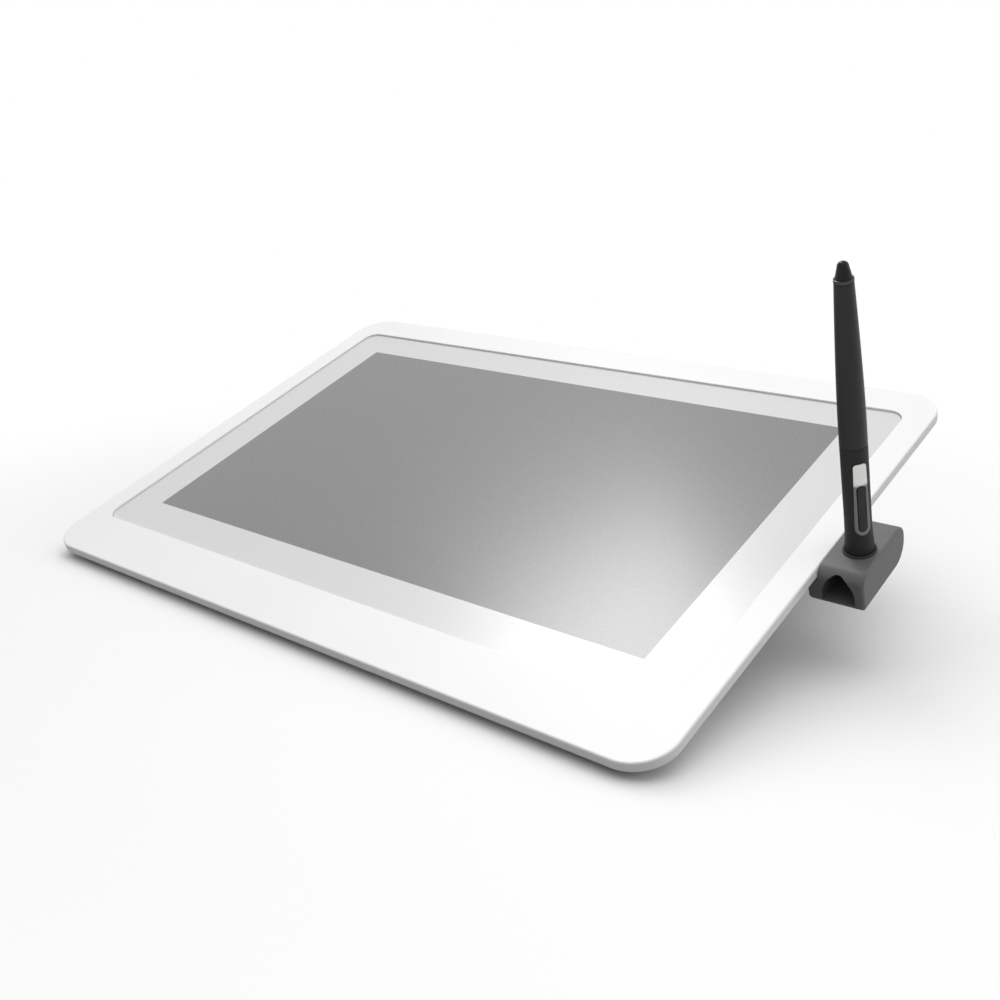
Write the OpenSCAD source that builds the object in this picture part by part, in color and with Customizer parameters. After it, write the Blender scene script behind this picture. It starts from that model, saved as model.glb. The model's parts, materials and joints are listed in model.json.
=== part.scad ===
// Pen display standing on two folding legs, with a stylus upright in a clip-on side holder.
// The tablet is drawn in its own frame: x to the right, y away from the user, z out of the screen,
// with z = 0 on the rim's face. It is then tipped back and set down, so that the desk is z = 0
// and the origin is under the middle of the whole object. The stylus has a frame of its own too:
// z runs along it from the nib's point, and its side switch faces -y before it is turned.

/* [Screen] */
// Width of the lit screen
screen_w = 344.2; // [320:0.2:380]
// Depth of the lit screen
screen_d = 193.6; // [180:0.2:215]
// Printed border beside the screen, each side
side_border = 24.1; // [21:0.1:32]
// Printed border above the screen
top_border = 20.9; // [17:0.1:30]
// Printed border below the screen
bottom_border = 23; // [17:0.1:30]
// Thickness of the cover glass
glass_t = 1.3; // [0.8:0.1:2]
// Depth of the glass below the rim's face
glass_drop = 1.2; // [0.4:0.1:2]
// Corner radius of the glass
glass_r = 8; // [4:0.5:12]
// Thickness of the liquid crystal cell
cell_t = 1.4; // [1:0.1:2]
// Thickness of the light guide
guide_t = 2; // [1.6:0.1:3]
// How far the panel reaches past the lit screen
panel_edge = 6.5; // [5:0.1:9]

/* [Frame] */
// Rim beside the glass, each side
side_rim = 14.8; // [13:0.1:20]
// Rim above the glass
top_rim = 19.7; // [17:0.1:28]
// Palm strip below the glass
palm_strip = 32; // [22:0.1:36]
// Corner radius of the frame
frame_r = 20; // [14:0.5:26]
// Rounding of the frame's top edge
edge_r = 0.9; // [0.4:0.1:1.5]
// Thickness of the frame's face
face_t = 2.2; // [1.8:0.1:2.6]
// Thickness of the frame's outer wall
rim_wall = 3; // [2.4:0.1:3.2]
// Thickness of the ledge that carries the glass
ledge_t = 2.2; // [1.8:0.1:3]

/* [Rear cover] */
// Room between the main board and the inside of the back
rear_room = 7.3; // [7.1:0.1:12]
// Thickness of the cover's wall
cover_t = 2.2; // [1.8:0.1:2.6]
// How far the cover stands in from the rim
cover_inset = 3.5; // [3.3:0.1:5]
// Height of the upright step under the rim
step_h = 2.5; // [1.5:0.1:3.5]
// Width of the sloped sides, seen from behind
cover_run = 15; // [12:0.5:18]
// Corner radius of the flat back
back_r = 12; // [8:0.5:18]
// Radius of the cover screws
screw_r = 1.25; // [1:0.05:1.5]
// Number of cooling slots
vent_count = 14; // [6:1:18]

/* [Stand] */
// Lean of the screen from the desk
tilt = 20; // [16:1:26]
// Width of a leg
leg_w = 64; // [50:1:74]
// Thickness of a leg
leg_t = 7; // [6:0.1:8]
// Middle of a leg, in from the tablet's side
leg_in = 86; // [76:1:98]
// Hinge line, in from the rear edge of the flat back
hinge_in = 16; // [14:0.5:22]
// Radius of the hinge pins
pin_r = 2; // [1.5:0.1:2.3]
// Height of the rubber pad on a leg's end
pad_h = 6; // [5:0.5:9]
// How far the front strips stand out of the cover
strip_out = 2.3; // [1.5:0.1:3.5]
// Length of a front strip
strip_l = 110; // [60:5:140]
// Width of a front strip
strip_w = 12; // [8:0.5:16]
// How far the round feet stand out of the flat back
foot_out = 2; // [1:0.1:2.5]
// Radius of the round feet
foot_r = 7; // [5:0.5:9]

/* [Cable port] */
// Width of the recess for the cable's plug
port_w = 52; // [44:1:60]
// Length of the recess, in from the rear edge of the flat back
port_l = 36; // [30:1:42]
// Width of the socket
socket_w = 26; // [20:0.5:32]
// Depth of the socket's mouth
socket_l = 9; // [7:0.5:10]

/* [Pen holder] */
// Front face of the holder, from the tablet's front edge
holder_place = 135.4; // [110:0.5:150]
// Width of the holder's top
holder_w = 21.2; // [20:0.2:26]
// Length of the holder
holder_l = 44.5; // [40:0.5:56]
// Height of the holder
holder_h = 18; // [17:0.2:20]
// How far the holder reaches under the rim
holder_under = 4.5; // [3.5:0.1:5.5]
// Width of the pen tunnel
tunnel_w = 15.6; // [14:0.2:16]
// Middle of the tunnel, from the rim
tunnel_in = 9.6; // [9.2:0.1:10.5]
// Roof over the tunnel
tunnel_roof = 1.3; // [1.1:0.1:2]
// Rise of the tunnel's pointed arch
arch_h = 12; // [10:0.2:12.6]
// Floor under the tunnel
tunnel_floor = 1.7; // [1.2:0.1:2.2]
// Width of the tongue that plugs into the tablet
tongue_w = 18; // [14:0.5:24]
// Thickness of the tongue
tongue_t = 3; // [2.4:0.1:3.4]

/* [Pen] */
// Length of the pen
pen_l = 158; // [145:1:170]
// Largest diameter, low on the grip
grip_d = 13; // [12.4:0.1:13.6]
// Diameter above the side switch
barrel_d = 11.8; // [11.4:0.1:12.2]
// Diameter at the tail
tail_d = 8; // [7.8:0.1:8.6]
// Diameter of the nose's open end
nose_d = 3.4; // [3:0.1:4]
// Depth of the pen's point below the holder's top
pen_sink = 21.5; // [20.5:0.1:22.5]
// Pen axis, from the tablet's side
pen_in = 11.5; // [11:0.1:12]
// Pen axis, from the holder's front face
pen_back = 19.8; // [18:0.1:24]
// Lean of the pen from upright on the holder
pen_lean = 1.6; // [0:0.1:3]
// Turn of the side switch about the pen, from the front to the right
switch_turn = 46; // [-90:1:180]
// Lower end of the switch's bezel
switch_start = 33; // [31:0.5:36]
// Length of the switch's bezel
switch_l = 36; // [32:0.5:40]
// Width of the switch's bezel
switch_w = 7.2; // [6:0.1:7.6]
// Length of the rocker
rocker_l = 23; // [18:0.5:25]
// Width of the rocker
rocker_w = 3.6; // [3.4:0.1:4.8]
// Length of the eraser that shows
eraser_l = 7; // [6:0.5:10]
// Radius of the nib
nib_r = 0.8; // [0.6:0.05:1]

/* [Power button] */
// Middle of the button, in from the tablet's right side
button_in = 61; // [45:1:110]
// Width of the button
button_w = 12; // [8:0.5:16]
// How far the button stands out of the rim
button_out = 0.7; // [0.3:0.1:1.2]
// Travel of the button
button_travel = 0.5; // [0.3:0.05:0.6]

/* [Fits] */
// Clearance between pieces that move past each other
slip = 0.3; // [0.2:0.05:0.4]
// Radial clearance of hinge pins and of pieces set in a seat
seat_gap = 0.05; // [0.02:0.01:0.08]

/* [Hidden] */
$fn = 64;
hull_fn = 32;
eps = 0.01;
cut = 1;

// Outline of the tablet, the glass and the panel
glass_w = screen_w + 2 * side_border;
glass_d = screen_d + top_border + bottom_border;
body_w = glass_w + 2 * side_rim;
body_d = glass_d + top_rim + palm_strip;
glass_y = (palm_strip - top_rim) / 2;
screen_y = glass_y + (bottom_border - top_border) / 2;
panel_w = screen_w + 2 * panel_edge;
panel_d = screen_d + 2 * panel_edge;
panel_gap = 0.5;
panel_r = 2;
recess_gap = 0.3;
recess_wall = 1.6;
recess_w = glass_w + 2 * recess_gap;
recess_d = glass_d + 2 * recess_gap;
recess_r = glass_r + recess_gap;
print_in = 0.5;
tape_in = 1;
bond_in = 0.2;
tray_wall = 0.6;
panel_play = 0.3;
sheet_w = panel_w - 2 * (tray_wall + panel_play);
sheet_d = panel_d - 2 * (tray_wall + panel_play);
sheet_r = panel_r - tray_wall;

// Thin layers, and the levels of the stack from the rim's face down
print_t = 0.1;
tape_t = 0.2;
bond_t = 0.3;
films_t = 0.5;
mirror_t = 0.2;
tray_t = 0.6;
digitizer_t = 0.8;
shield_t = 0.4;
chassis_t = 1.2;
board_gap = 1.5;
board_t = 1.6;
z_glass = -glass_drop;
z_print = z_glass - glass_t;
z_tape = z_print - print_t;
z_ledge = z_tape - tape_t;
z_rim = z_ledge - ledge_t;
z_cell = z_print - bond_t;
z_films = z_cell - cell_t;
z_guide = z_films - films_t;
z_mirror = z_guide - guide_t;
z_tray = z_mirror - mirror_t;
z_digitizer = z_tray - tray_t;
z_shield = z_digitizer - digitizer_t;
z_chassis = z_shield - shield_t;
z_under = z_chassis - chassis_t;
z_board = z_under - board_gap;
z_board_low = z_board - board_t;

// Rear cover: the lip inside the rim, the step, the slopes and the flat back
z_lip = -face_t - slip;
z_step = z_rim - step_h;
z_back = z_board_low - rear_room - cover_t;
cover_x = body_w / 2 - cover_inset;
cover_y = body_d / 2 - cover_inset;
cover_r = frame_r - cover_inset;
cover_drop = z_step - z_back;
side_slope = atan2(cover_drop, cover_run);
back_x = cover_x - cover_run;
back_rear = cover_y - cover_run;
back_front = -cover_y + cover_drop / tan(tilt);
back_l = back_rear - back_front;
back_y = (back_rear + back_front) / 2;
side_in = cover_t / sin(side_slope);
front_in = cover_t / sin(tilt);
side_turn = cover_t * tan(side_slope / 2);
front_turn = cover_t * tan(tilt / 2);
vent_w = 2.2;
vent_l = 16;
vent_step = 7;

// Screws that clamp the cover and the chassis to the frame
boss_r = 4.6;
frame_boss_r = 3.4;
screw_play = 0.35;
screw_bite = 3;
head_r = 2.6;
head_h = 2;
head_gap = 0.4;
head_drop = 5;
cross_w = 0.8;
cross_l = 3.4;
cross_t = 1;
screw_x = panel_w / 2 + panel_gap + frame_boss_r;
screw_end = 12;
screw_mid = 0.7;
screw_front = back_front + screw_end;
screw_rear = back_rear - screw_end;
screw_rows = [screw_front, screw_front + screw_mid * (screw_rear - screw_front), screw_rear];
screw_spots = [for (sx = [-1, 1], y = screw_rows) [sx * screw_x, y]];

// Chassis plate under the panel
chassis_edge = 2;
chassis_over = frame_boss_r + chassis_edge;
chassis_x = screw_x + chassis_over;
chassis_front = min(screw_front, screen_y - panel_d / 2) - chassis_over;
chassis_rear = max(screw_rear, screen_y + panel_d / 2) + chassis_over;
chassis_r = 6;

// Stand: the hinge, the desk and the length of a leg
leg_flush = 0.5;
leg_gap = 0.6;
leg_end_gap = 1;
pocket_wall = 1.6;
pin_seat_l = 5;
leg_x = body_w / 2 - leg_in;
ear_r = 5;
hinge_y = back_rear - hinge_in;
hinge_z = z_back + leg_flush + leg_t / 2;
lift = cover_y * sin(tilt) - z_step * cos(tilt) + strip_out;
leg_reach = (hinge_y * sin(tilt) + hinge_z * cos(tilt) + lift) / cos(tilt);
leg_slant = leg_t / 2 * tan(tilt);
leg_end = leg_reach - pad_h;
pocket_z = hinge_z + leg_t / 2 + leg_flush;
pocket_x = leg_w / 2 + leg_gap;
pocket_front = hinge_y - leg_reach - leg_slant - leg_end_gap;
pocket_rear = hinge_y + leg_t / 2 + slip;
pin_x = pocket_x + pin_seat_l;
ear_x = pin_x + pocket_wall;
pad_rib_t = 3;
pad_rib_h = 4;
pad_rib_in = 5;
leg_panel_in = 8;
leg_panel_t = 1;
leg_panel_r = 4;
leg_panel_l = leg_end - leg_t - 3 * leg_panel_in / 2;
nail_r = 3;
nail_l = 26;
nail_t = 1.6;
nail_end = 6;

// Feet on the cover: strips for the desk, round feet for lying flat
strip_in = 116;
strip_x = body_w / 2 - strip_in;
strip_groove = 0.8;
strip_start = 10;
strip_y = -cover_y * cos(tilt) - z_step * sin(tilt) + strip_start + strip_w / 2;
foot_groove = 0.8;
foot_edge = 0.6;
foot_end = 34;
foot_inner = 20;
foot_spots = [
  for (sx = [-1, 1])
    each [
      [sx * (screw_x - foot_end / 2), back_front + foot_end],
      [sx * (port_w / 2 + foot_inner), back_rear - foot_end / 2]
    ]
];

// Cable port and the main board
port_wall = 1.6;
port_front = back_rear - port_l;
z_port = z_board_low + port_wall / 2;
socket_back = 3;
socket_wall = 0.5;
socket_h = 6.8;
board_w = 120;
board_l = 84;
board_hole_in = 5;
board_rear = port_front - port_wall - cut;
board_y = board_rear - board_l / 2;
board_front = board_rear - board_l;
board_spots = [
  for (sx = [-1, 1], sy = [-1, 1])
    [sx * (board_w / 2 - board_hole_in), board_y + sy * (board_l / 2 - board_hole_in)]
];
board_screw_r = 1;
board_screw_bite = board_gap + chassis_t / 2;
board_head_r = 2;
board_head_h = 1.2;
standoff_r = 2.8;
chip_w = 18;
chip_h = 1.4;
memory_w = 9;
memory_l = 13;
memory_x = 16;
choke_r = 4;
choke_h = 3;
choke_in = 20;
choke_x = board_w / 2 - choke_in;
choke_y = 16;
can_w = 50;
can_l = 40;
can_h = 2.8;
can_t = 0.4;
vent_off = 12;
vent_y = board_y - vent_off;

// Panel board and the two flat cables
panel_board_w = 130;
panel_board_l = 16;
panel_board_t = 1;
panel_board_x = -35;
panel_board_gap = 0.2;
panel_board_off = 62;
panel_board_y = board_front - panel_board_off;
z_panel_board = z_under - panel_board_gap;
flex_t = 0.3;
flex_w = 24;
flex_x = -20;
flex_lap = 8;
flex_run = 2;
digit_in = 1;
digit_tab = 4;
digit_flex_x = 40;
digit_flex_w = 14;
digit_flex_gap = 0.5;
digit_flex_fall = 30;
digit_tab_y = chassis_front - digit_tab;

// Backlight
led_count = 32;
led_w = 3;
led_h = 1.2;
led_t = 0.8;
led_strip_t = 1;
led_room = 2.2;
led_end = 10;
led_strip_w = sheet_w - 2 * led_end;
led_step = (led_strip_w - led_w) / (led_count - 1);
led_y = screen_y - sheet_d / 2;

// Power button, its board and its light
button_x = body_w / 2 - button_in;
button_play = 0.3;
button_rest = 0.1;
flange_t = 1.4;
flange_w = 3;
stem_w = 4;
z_button = z_rim + button_rest;
z_button_top = -face_t - slip;
flange_y = body_d / 2 - rim_wall - button_play;
tact_w = 4.2;
tact_h = 1.3;
tact_t = 3;
tact_pin_r = 0.5;
tact_pin_l = 1;
tact_gap = 0.1;
tact_room = 3;
tact_y = flange_y - flange_t - tact_room;
stem_y = tact_y + tact_pin_l + button_travel + tact_gap;
light_r = 0.75;
light_off = 13;
light_x = button_x - light_off;
light_gap = 0.3;
lamp_w = 2;
lamp_t = 1.5;
button_board_t = 0.8;
button_board_l = 8;
button_board_end = 3;
button_board_rest = 0.2;
z_button_board = z_rim + button_board_rest + button_board_t;
button_board_low_x = light_x - button_board_end;
button_board_high_x = button_x + button_w / 2 + button_board_end;
peg_r = 1.2;
peg_in = 1.5;
lip_notch = 2;

// Pen holder
holder_x = body_w / 2 + slip;
holder_far_x = holder_x + holder_w;
holder_in_x = body_w / 2 - holder_under;
holder_y = -body_d / 2 + holder_place;
holder_rear = holder_y + holder_l;
holder_mid = holder_y + holder_l / 2;
holder_nose_r = 6;
holder_tail_r = 5;
holder_heel_r = 11;
holder_sole_r = 1.5;
holder_side_r = 1.6;
holder_foot_c = 2;
rim_clear = 1;
slope_clear = 0.5;
holder_under_z = z_step - (cover_x - holder_in_x) * tan(side_slope) - slope_clear;
tunnel_x = body_w / 2 + tunnel_in;
tunnel_r = tunnel_w / 2;
tunnel_back = 8;
tunnel_l = holder_l - tunnel_back;
arch_z = -tunnel_roof - arch_h;
arch_r = (tunnel_r * tunnel_r + arch_h * arch_h) / tunnel_w;
z_floor = -holder_h + tunnel_floor;
tongue_reach = 19;
tongue_root = 4;
tongue_r = 1.5;
tongue_down = 2.3;
tongue_z = holder_under_z - tongue_down - tongue_t / 2;
tongue_end_x = body_w / 2 - tongue_reach;
tongue_l = holder_in_x + tongue_root - tongue_end_x;
tongue_x = tongue_end_x + tongue_l / 2;
tongue_hole_r = 2;
tongue_hole_in = 5;
tongue_hole_x = tongue_end_x + tongue_hole_in;
dock_wall = 1.6;
dock_gap = 0.25;
dock_end_x = tongue_end_x - dock_gap;
dock_y = tongue_w / 2 + dock_gap;
dock_z = tongue_t / 2 + dock_gap;

// Pen: its place in the holder, and the stations along it
pen_x = body_w / 2 + pen_in;
pen_y = holder_y + pen_back;
nose_start = 2.2;
grip_s = 24;
barrel_s = 38;
taper_s = 84;
taper_curve = 1.5;
nose_l = 14;
grip_end = 76;
tail_ring_t = 1.6;
tail_ring_out = 0.1;
tail_s = pen_l - eraser_l - tail_ring_t;
pen_step = 3;
grip_wall = 1.4;
barrel_wall = 1.1;
core_gap = 0.15;
nib_gap = 0.1;
nib_l = 26;
nib_point_r = 0.35;
nib_taper = 1.6;
nib_travel = 0.4;
ferrite_wall = 1.8;
ferrite_gap = 0.5;
ferrite_s = nose_l + ferrite_gap;
ferrite_l = 9;
cell_s = nib_l + nib_travel + nib_gap;
cell_l = 7;
core_r = 2.7;
core_s = cell_s + cell_l;
core_short = 24;
core_end = tail_s - core_short;
collar_t = 3;
collar_s = 60;
core_flat = 0.4;
pen_board_t = 0.8;
pen_board_w = 4.6;
pen_board_l = 56;
eraser_r = 3.5;
eraser_tip_r = 2.35;
eraser_dome = 2;
eraser_travel = 0.6;
eraser_stem_r = 1.2;
eraser_stem_l = 9;
eraser_cell_l = tail_s - eraser_stem_l - eraser_travel - nib_gap - core_end;

// Side switch
switch_end = switch_start + switch_l;
switch_low_r = switch_w / 2;
switch_taper = 1.6;
switch_top_w = switch_w - switch_taper;
switch_top_r = 1.5;
switch_far = grip_d;
bezel_out = 0.25;
bezel_t = 1.2;
rocker_out = 0.55;
rocker_t = 1.9;
rocker_tilt = 3;
rocker_start = 2;
rocker_dip = 0.35;
rocker_dip_r = 60;
rocker_mid = switch_start + rocker_start + rocker_l / 2;
rocker_face = pen_r(rocker_mid) + rocker_out;
rocker_under = pen_r(rocker_mid) - rocker_t;
fulcrum_r = 0.6;
fulcrum_in = 0.3;
fulcrum_w = rocker_w - 2 * fulcrum_in;
key_s = 8;
key_w = 3;
key_play = 0.45;
key_gap = (key_s + key_w / 2) * tan(rocker_tilt) + key_play;
post_w = 2;
post_gap = 0.1;
key_base = core_flat + pen_board_t;

// Seat and cup for the pen
seat_deep = 4;
seat_up = 0.8;
seat_edge = 0.4;
seat_wall = 0.75;
seat_r = pen_r(pen_sink) + slip + seat_wall;
seat_step = 0.5;
cup_r = 6.6;
cup_rim_r = 7.2;
cup_rim_t = 1.5;
cup_floor = 1.7;
cup_gap = 0.4;
tip_y = pen_y - pen_sink * sin(pen_lean);
z_cup = -pen_sink * cos(pen_lean) - cup_gap - cup_floor;

// Where the middle of the whole lies, so that the origin can go under it
mid_x = (holder_far_x - body_w / 2) / 2;
front_most = -body_d / 2 * cos(tilt) + edge_r * sin(tilt);
foot_most = (hinge_y + leg_t / 2) * cos(tilt) - (hinge_z - leg_reach - leg_slant) * sin(tilt);
rear_most = max(foot_most, body_d / 2 * cos(tilt) - z_rim * sin(tilt));
mid_y = (front_most + rear_most) / 2;

// Radius of the pen at a distance from its point
function pen_r(s) =
  s < grip_s
    ? nose_d / 2 + (grip_d - nose_d) / 2 * sin(90 * (s - nose_start) / (grip_s - nose_start))
    : s < barrel_s
      ? barrel_d / 2 + (grip_d - barrel_d) / 2 * pow((barrel_s - s) / (barrel_s - grip_s), 2)
      : s < taper_s
        ? barrel_d / 2
        : barrel_d / 2 - (barrel_d - tail_d) / 2 * pow((s - taper_s) / (tail_s - taper_s), taper_curve);

// Stations along the pen from a to b, in either direction
function stations(a, b) =
  let (n = ceil(abs(b - a) / pen_step))
  [for (i = [0:n]) a + (b - a) * i / n];

// Points of an arc from angle a to angle b
function arc(c, r, a, b, n = 8) =
  [for (i = [0:n]) c + r * [cos(a + (b - a) * i / n), sin(a + (b - a) * i / n)]];

// Outline of the switch's bezel, grown by a clearance
function bezel_outline(grow) =
  let (x = switch_top_w / 2 - switch_top_r, s = switch_end - switch_top_r, r = switch_top_r + grow)
  concat(
    arc([0, switch_start + switch_low_r], switch_low_r + grow, 180, 360, 16),
    arc([x, s], r, 0, 90),
    arc([-x, s], r, 90, 180)
  );

// Outline of the rocker, grown by a clearance
function rocker_outline(grow) =
  let (half = (rocker_l - rocker_w) / 2, r = rocker_w / 2 + grow)
  concat(
    arc([0, rocker_mid - half], r, 180, 360, 16),
    arc([0, rocker_mid + half], r, 0, 180, 16)
  );

// Puts a piece drawn in the tablet's frame into the world
module on_tablet() {
  translate([-mid_x, -mid_y, lift]) rotate([tilt, 0, 0]) children();
}

// Puts a piece drawn in the pen's frame into the tablet's frame
module on_pen() {
  translate([pen_x, pen_y, 0]) rotate([-pen_lean, 0, 0]) translate([0, 0, -pen_sink]) children();
}

// As on_pen, turned to the side switch
module on_switch() {
  on_pen() rotate([0, 0, switch_turn]) children();
}

// Block between two corners
module box(low, high) {
  translate(low) cube(high - low);
}

// Extrudes an outline of y and z along x
module along_x(x, w) {
  translate([x, 0, 0]) rotate([90, 0, 90]) linear_extrude(w) children();
}

// Extrudes an outline of x and z along y
module along_y(y, l) {
  translate([0, y + l, 0]) rotate([90, 0, 0]) linear_extrude(l) children();
}

// Rod along x, about its middle
module rod_x(r, l) {
  rotate([0, 90, 0]) cylinder(r = r, h = l, center = true);
}

// Rod along y, from a start
module rod_y(r, l) {
  rotate([-90, 0, 0]) cylinder(r = r, h = l);
}

// Rectangle with round corners
module rounded(w, d, r) {
  square([w - 2 * r, d], center = true);
  square([w, d - 2 * r], center = true);
  for (sx = [-1, 1], sy = [-1, 1])
    translate([sx * (w / 2 - r), sy * (d / 2 - r)]) circle(r);
}

// Flat layer with round corners, hanging from a level
module layer(z, t, w, d, r, y) {
  translate([0, y, z - t]) linear_extrude(t) rounded(w, d, r);
}

// Turned shell of the pen between two stations, from an outer to an inner offset
module pen_shell(a, b, outer, inner) {
  skin = [for (s = stations(a, b)) [pen_r(s) + outer, s]];
  bore = [for (s = stations(b, a)) [pen_r(s) + inner, s]];
  rotate_extrude() polygon(concat(skin, bore));
}

// Ring or disc about the pen's axis
module pen_ring(a, b, outer, inner = 0) {
  rotate_extrude() translate([inner, a]) square([outer - inner, b - a]);
}

// Prism that stands out of the pen on the switch's side
module switch_prism(outline) {
  rotate([90, 0, 0]) linear_extrude(switch_far) polygon(outline);
}

// Plate of the frame before it is hollowed, with a round top edge
module frame_block() {
  hull() {
    layer(-edge_r, -edge_r - z_rim, body_w, body_d, frame_r, 0, $fn = hull_fn);
    for (a = [30:30:90]) {
      in = edge_r * (1 - cos(a));
      layer(edge_r * (sin(a) - 1), eps, body_w - 2 * in, body_d - 2 * in, frame_r - in, 0, $fn = hull_fn);
    }
  }
}

// Hollow under the rim, between its outer wall and the wall round the glass
module rim_hollow() {
  translate([0, 0, z_rim - cut]) linear_extrude(cut - z_rim - face_t) difference() {
    rounded(body_w - 2 * rim_wall, body_d - 2 * rim_wall, frame_r - rim_wall);
    translate([0, glass_y])
      rounded(recess_w + 2 * recess_wall, recess_d + 2 * recess_wall, recess_r + recess_wall);
  }
}

// Rim, palm strip and glass ledge, with bosses for the cover's screws
module front_frame() {
  color("white") on_tablet() difference() {
    union() {
      difference() {
        frame_block();
        layer(cut, cut - z_ledge, recess_w, recess_d, recess_r, glass_y);
        layer(cut, 2 * cut - z_rim, panel_w + 2 * panel_gap, panel_d + 2 * panel_gap, panel_r, screen_y);
        rim_hollow();
      }
      for (p = screw_spots)
        translate([p.x, p.y, z_chassis]) cylinder(r = frame_boss_r, h = z_rim + ledge_t / 2 - z_chassis);
      for (x = [button_board_low_x + peg_in, button_board_high_x - peg_in])
        translate([x, tact_y - button_board_l + peg_in, z_button_board])
          cylinder(r = peg_r, h = -face_t / 2 - z_button_board);
    }
    for (p = screw_spots)
      translate([p.x, p.y, z_chassis - cut]) cylinder(r = screw_r + seat_gap, h = cut + screw_bite + slip);
    box(
      [button_x - button_w / 2 - button_play, body_d / 2 - rim_wall - cut, z_rim - cut],
      [button_x + button_w / 2 + button_play, body_d / 2 + cut, -face_t]
    );
    translate([light_x, body_d / 2 - rim_wall - cut, (z_rim - face_t) / 2])
      rod_y(light_r + seat_gap, rim_wall + 2 * cut);
  }
}

// Clear sheet that the pen glides on
module cover_glass() {
  color([0.86, 0.87, 0.88, 0.5]) on_tablet() layer(z_glass, glass_t, glass_w, glass_d, glass_r, glass_y);
}

// White print under the glass, round the lit screen
module border_print() {
  color([0.92, 0.92, 0.93]) on_tablet() translate([0, 0, z_tape]) linear_extrude(print_t) difference() {
    translate([0, glass_y]) rounded(glass_w - 2 * print_in, glass_d - 2 * print_in, glass_r - print_in);
    translate([0, screen_y]) square([screen_w, screen_d], center = true);
  }
}

// Adhesive ring between the glass and the frame's ledge
module glass_tape() {
  color("dimgray") on_tablet() translate([0, 0, z_ledge]) linear_extrude(tape_t) difference() {
    translate([0, glass_y]) rounded(glass_w - 2 * tape_in, glass_d - 2 * tape_in, glass_r - tape_in);
    translate([0, screen_y])
      rounded(panel_w + 2 * (panel_gap + tape_in), panel_d + 2 * (panel_gap + tape_in), panel_r);
  }
}

// Clear layer that bonds the panel to the glass
module optical_bond() {
  color([0.8, 0.85, 0.9, 0.4]) on_tablet()
    layer(z_print, bond_t, screen_w - 2 * bond_in, screen_d - 2 * bond_in, bond_in, screen_y);
}

// Liquid crystal cell
module lcd_cell() {
  color([0.58, 0.59, 0.61]) on_tablet() layer(z_cell, cell_t, sheet_w, sheet_d, sheet_r, screen_y);
}

// Diffuser and prism films
module film_stack() {
  color("gainsboro") on_tablet() layer(z_films, films_t, sheet_w, sheet_d, sheet_r, screen_y);
}

// Acrylic sheet that spreads the light
module light_guide() {
  color("aliceblue") on_tablet()
    layer(z_guide, guide_t, sheet_w, sheet_d - led_room, sheet_r, screen_y + led_room / 2);
}

// White sheet behind the light guide
module reflector_sheet() {
  color("white") on_tablet() layer(z_mirror, mirror_t, sheet_w, sheet_d, sheet_r, screen_y);
}

// Strip of lamps along the light guide's front edge
module backlight_bar() {
  color("khaki") on_tablet() {
    box([-led_strip_w / 2, led_y, z_mirror], [led_strip_w / 2, led_y + led_strip_t, z_guide]);
    for (i = [0:led_count - 1])
      translate([i * led_step - led_strip_w / 2, led_y + led_strip_t, (z_mirror + z_guide - led_h) / 2])
        cube([led_w, led_t, led_h]);
  }
}

// Folded steel tray that holds the panel's layers
module panel_tray() {
  color("silver") on_tablet() difference() {
    layer(z_cell, z_cell - z_digitizer, panel_w, panel_d, panel_r, screen_y);
    layer(
      z_cell + cut, z_cell + cut - z_tray, panel_w - 2 * tray_wall, panel_d - 2 * tray_wall, sheet_r, screen_y
    );
  }
}

// Board with the antenna grid that finds the pen, with a tab for its cable
module digitizer_board() {
  w = panel_w - 2 * digit_in;
  d = panel_d - 2 * digit_in;
  color("seagreen") on_tablet() {
    layer(z_digitizer, digitizer_t, w, d, panel_r, screen_y);
    box(
      [digit_flex_x - digit_flex_w / 2, digit_tab_y, z_shield],
      [digit_flex_x + digit_flex_w / 2, screen_y - d / 2 + panel_r, z_digitizer]
    );
  }
}

// Magnetic sheet behind the antenna
module digitizer_shield() {
  color("slategray") on_tablet()
    layer(z_shield, shield_t, panel_w - 2 * digit_in, panel_d - 2 * digit_in, panel_r, screen_y);
}

// Plate that stiffens the body, with standoffs for the main board
module chassis_plate() {
  color("lightgray") on_tablet() difference() {
    union() {
      layer(
        z_chassis, chassis_t, 2 * chassis_x, chassis_rear - chassis_front, chassis_r,
        (chassis_rear + chassis_front) / 2
      );
      for (p = board_spots)
        translate([p.x, p.y, z_board]) cylinder(r = standoff_r, h = board_gap + chassis_t / 2);
    }
    for (p = screw_spots)
      translate([p.x, p.y, z_under - cut]) cylinder(r = screw_r + screw_play, h = chassis_t + 2 * cut);
    for (p = board_spots)
      translate([p.x, p.y, z_board - cut])
        cylinder(r = board_screw_r + seat_gap, h = board_screw_bite + slip + cut);
  }
}

// Main board, with its processor, memory and chokes facing the back
module main_board() {
  color("darkgreen") on_tablet() {
    difference() {
      box([-board_w / 2, board_front, z_board_low], [board_w / 2, board_rear, z_board]);
      for (p = board_spots)
        translate([p.x, p.y, z_board_low - cut])
          cylinder(r = board_screw_r + screw_play, h = board_t + 2 * cut);
    }
    translate([-chip_w / 2, board_y - chip_w / 2, z_board_low - chip_h]) cube([chip_w, chip_w, chip_h]);
    for (sx = [-1, 1]) {
      translate([sx * memory_x - memory_w / 2, board_y - memory_l / 2, z_board_low - chip_h])
        cube([memory_w, memory_l, chip_h]);
      translate([sx * choke_x, board_y + choke_y, z_board_low - choke_h]) cylinder(r = choke_r, h = choke_h);
    }
  }
}

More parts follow.
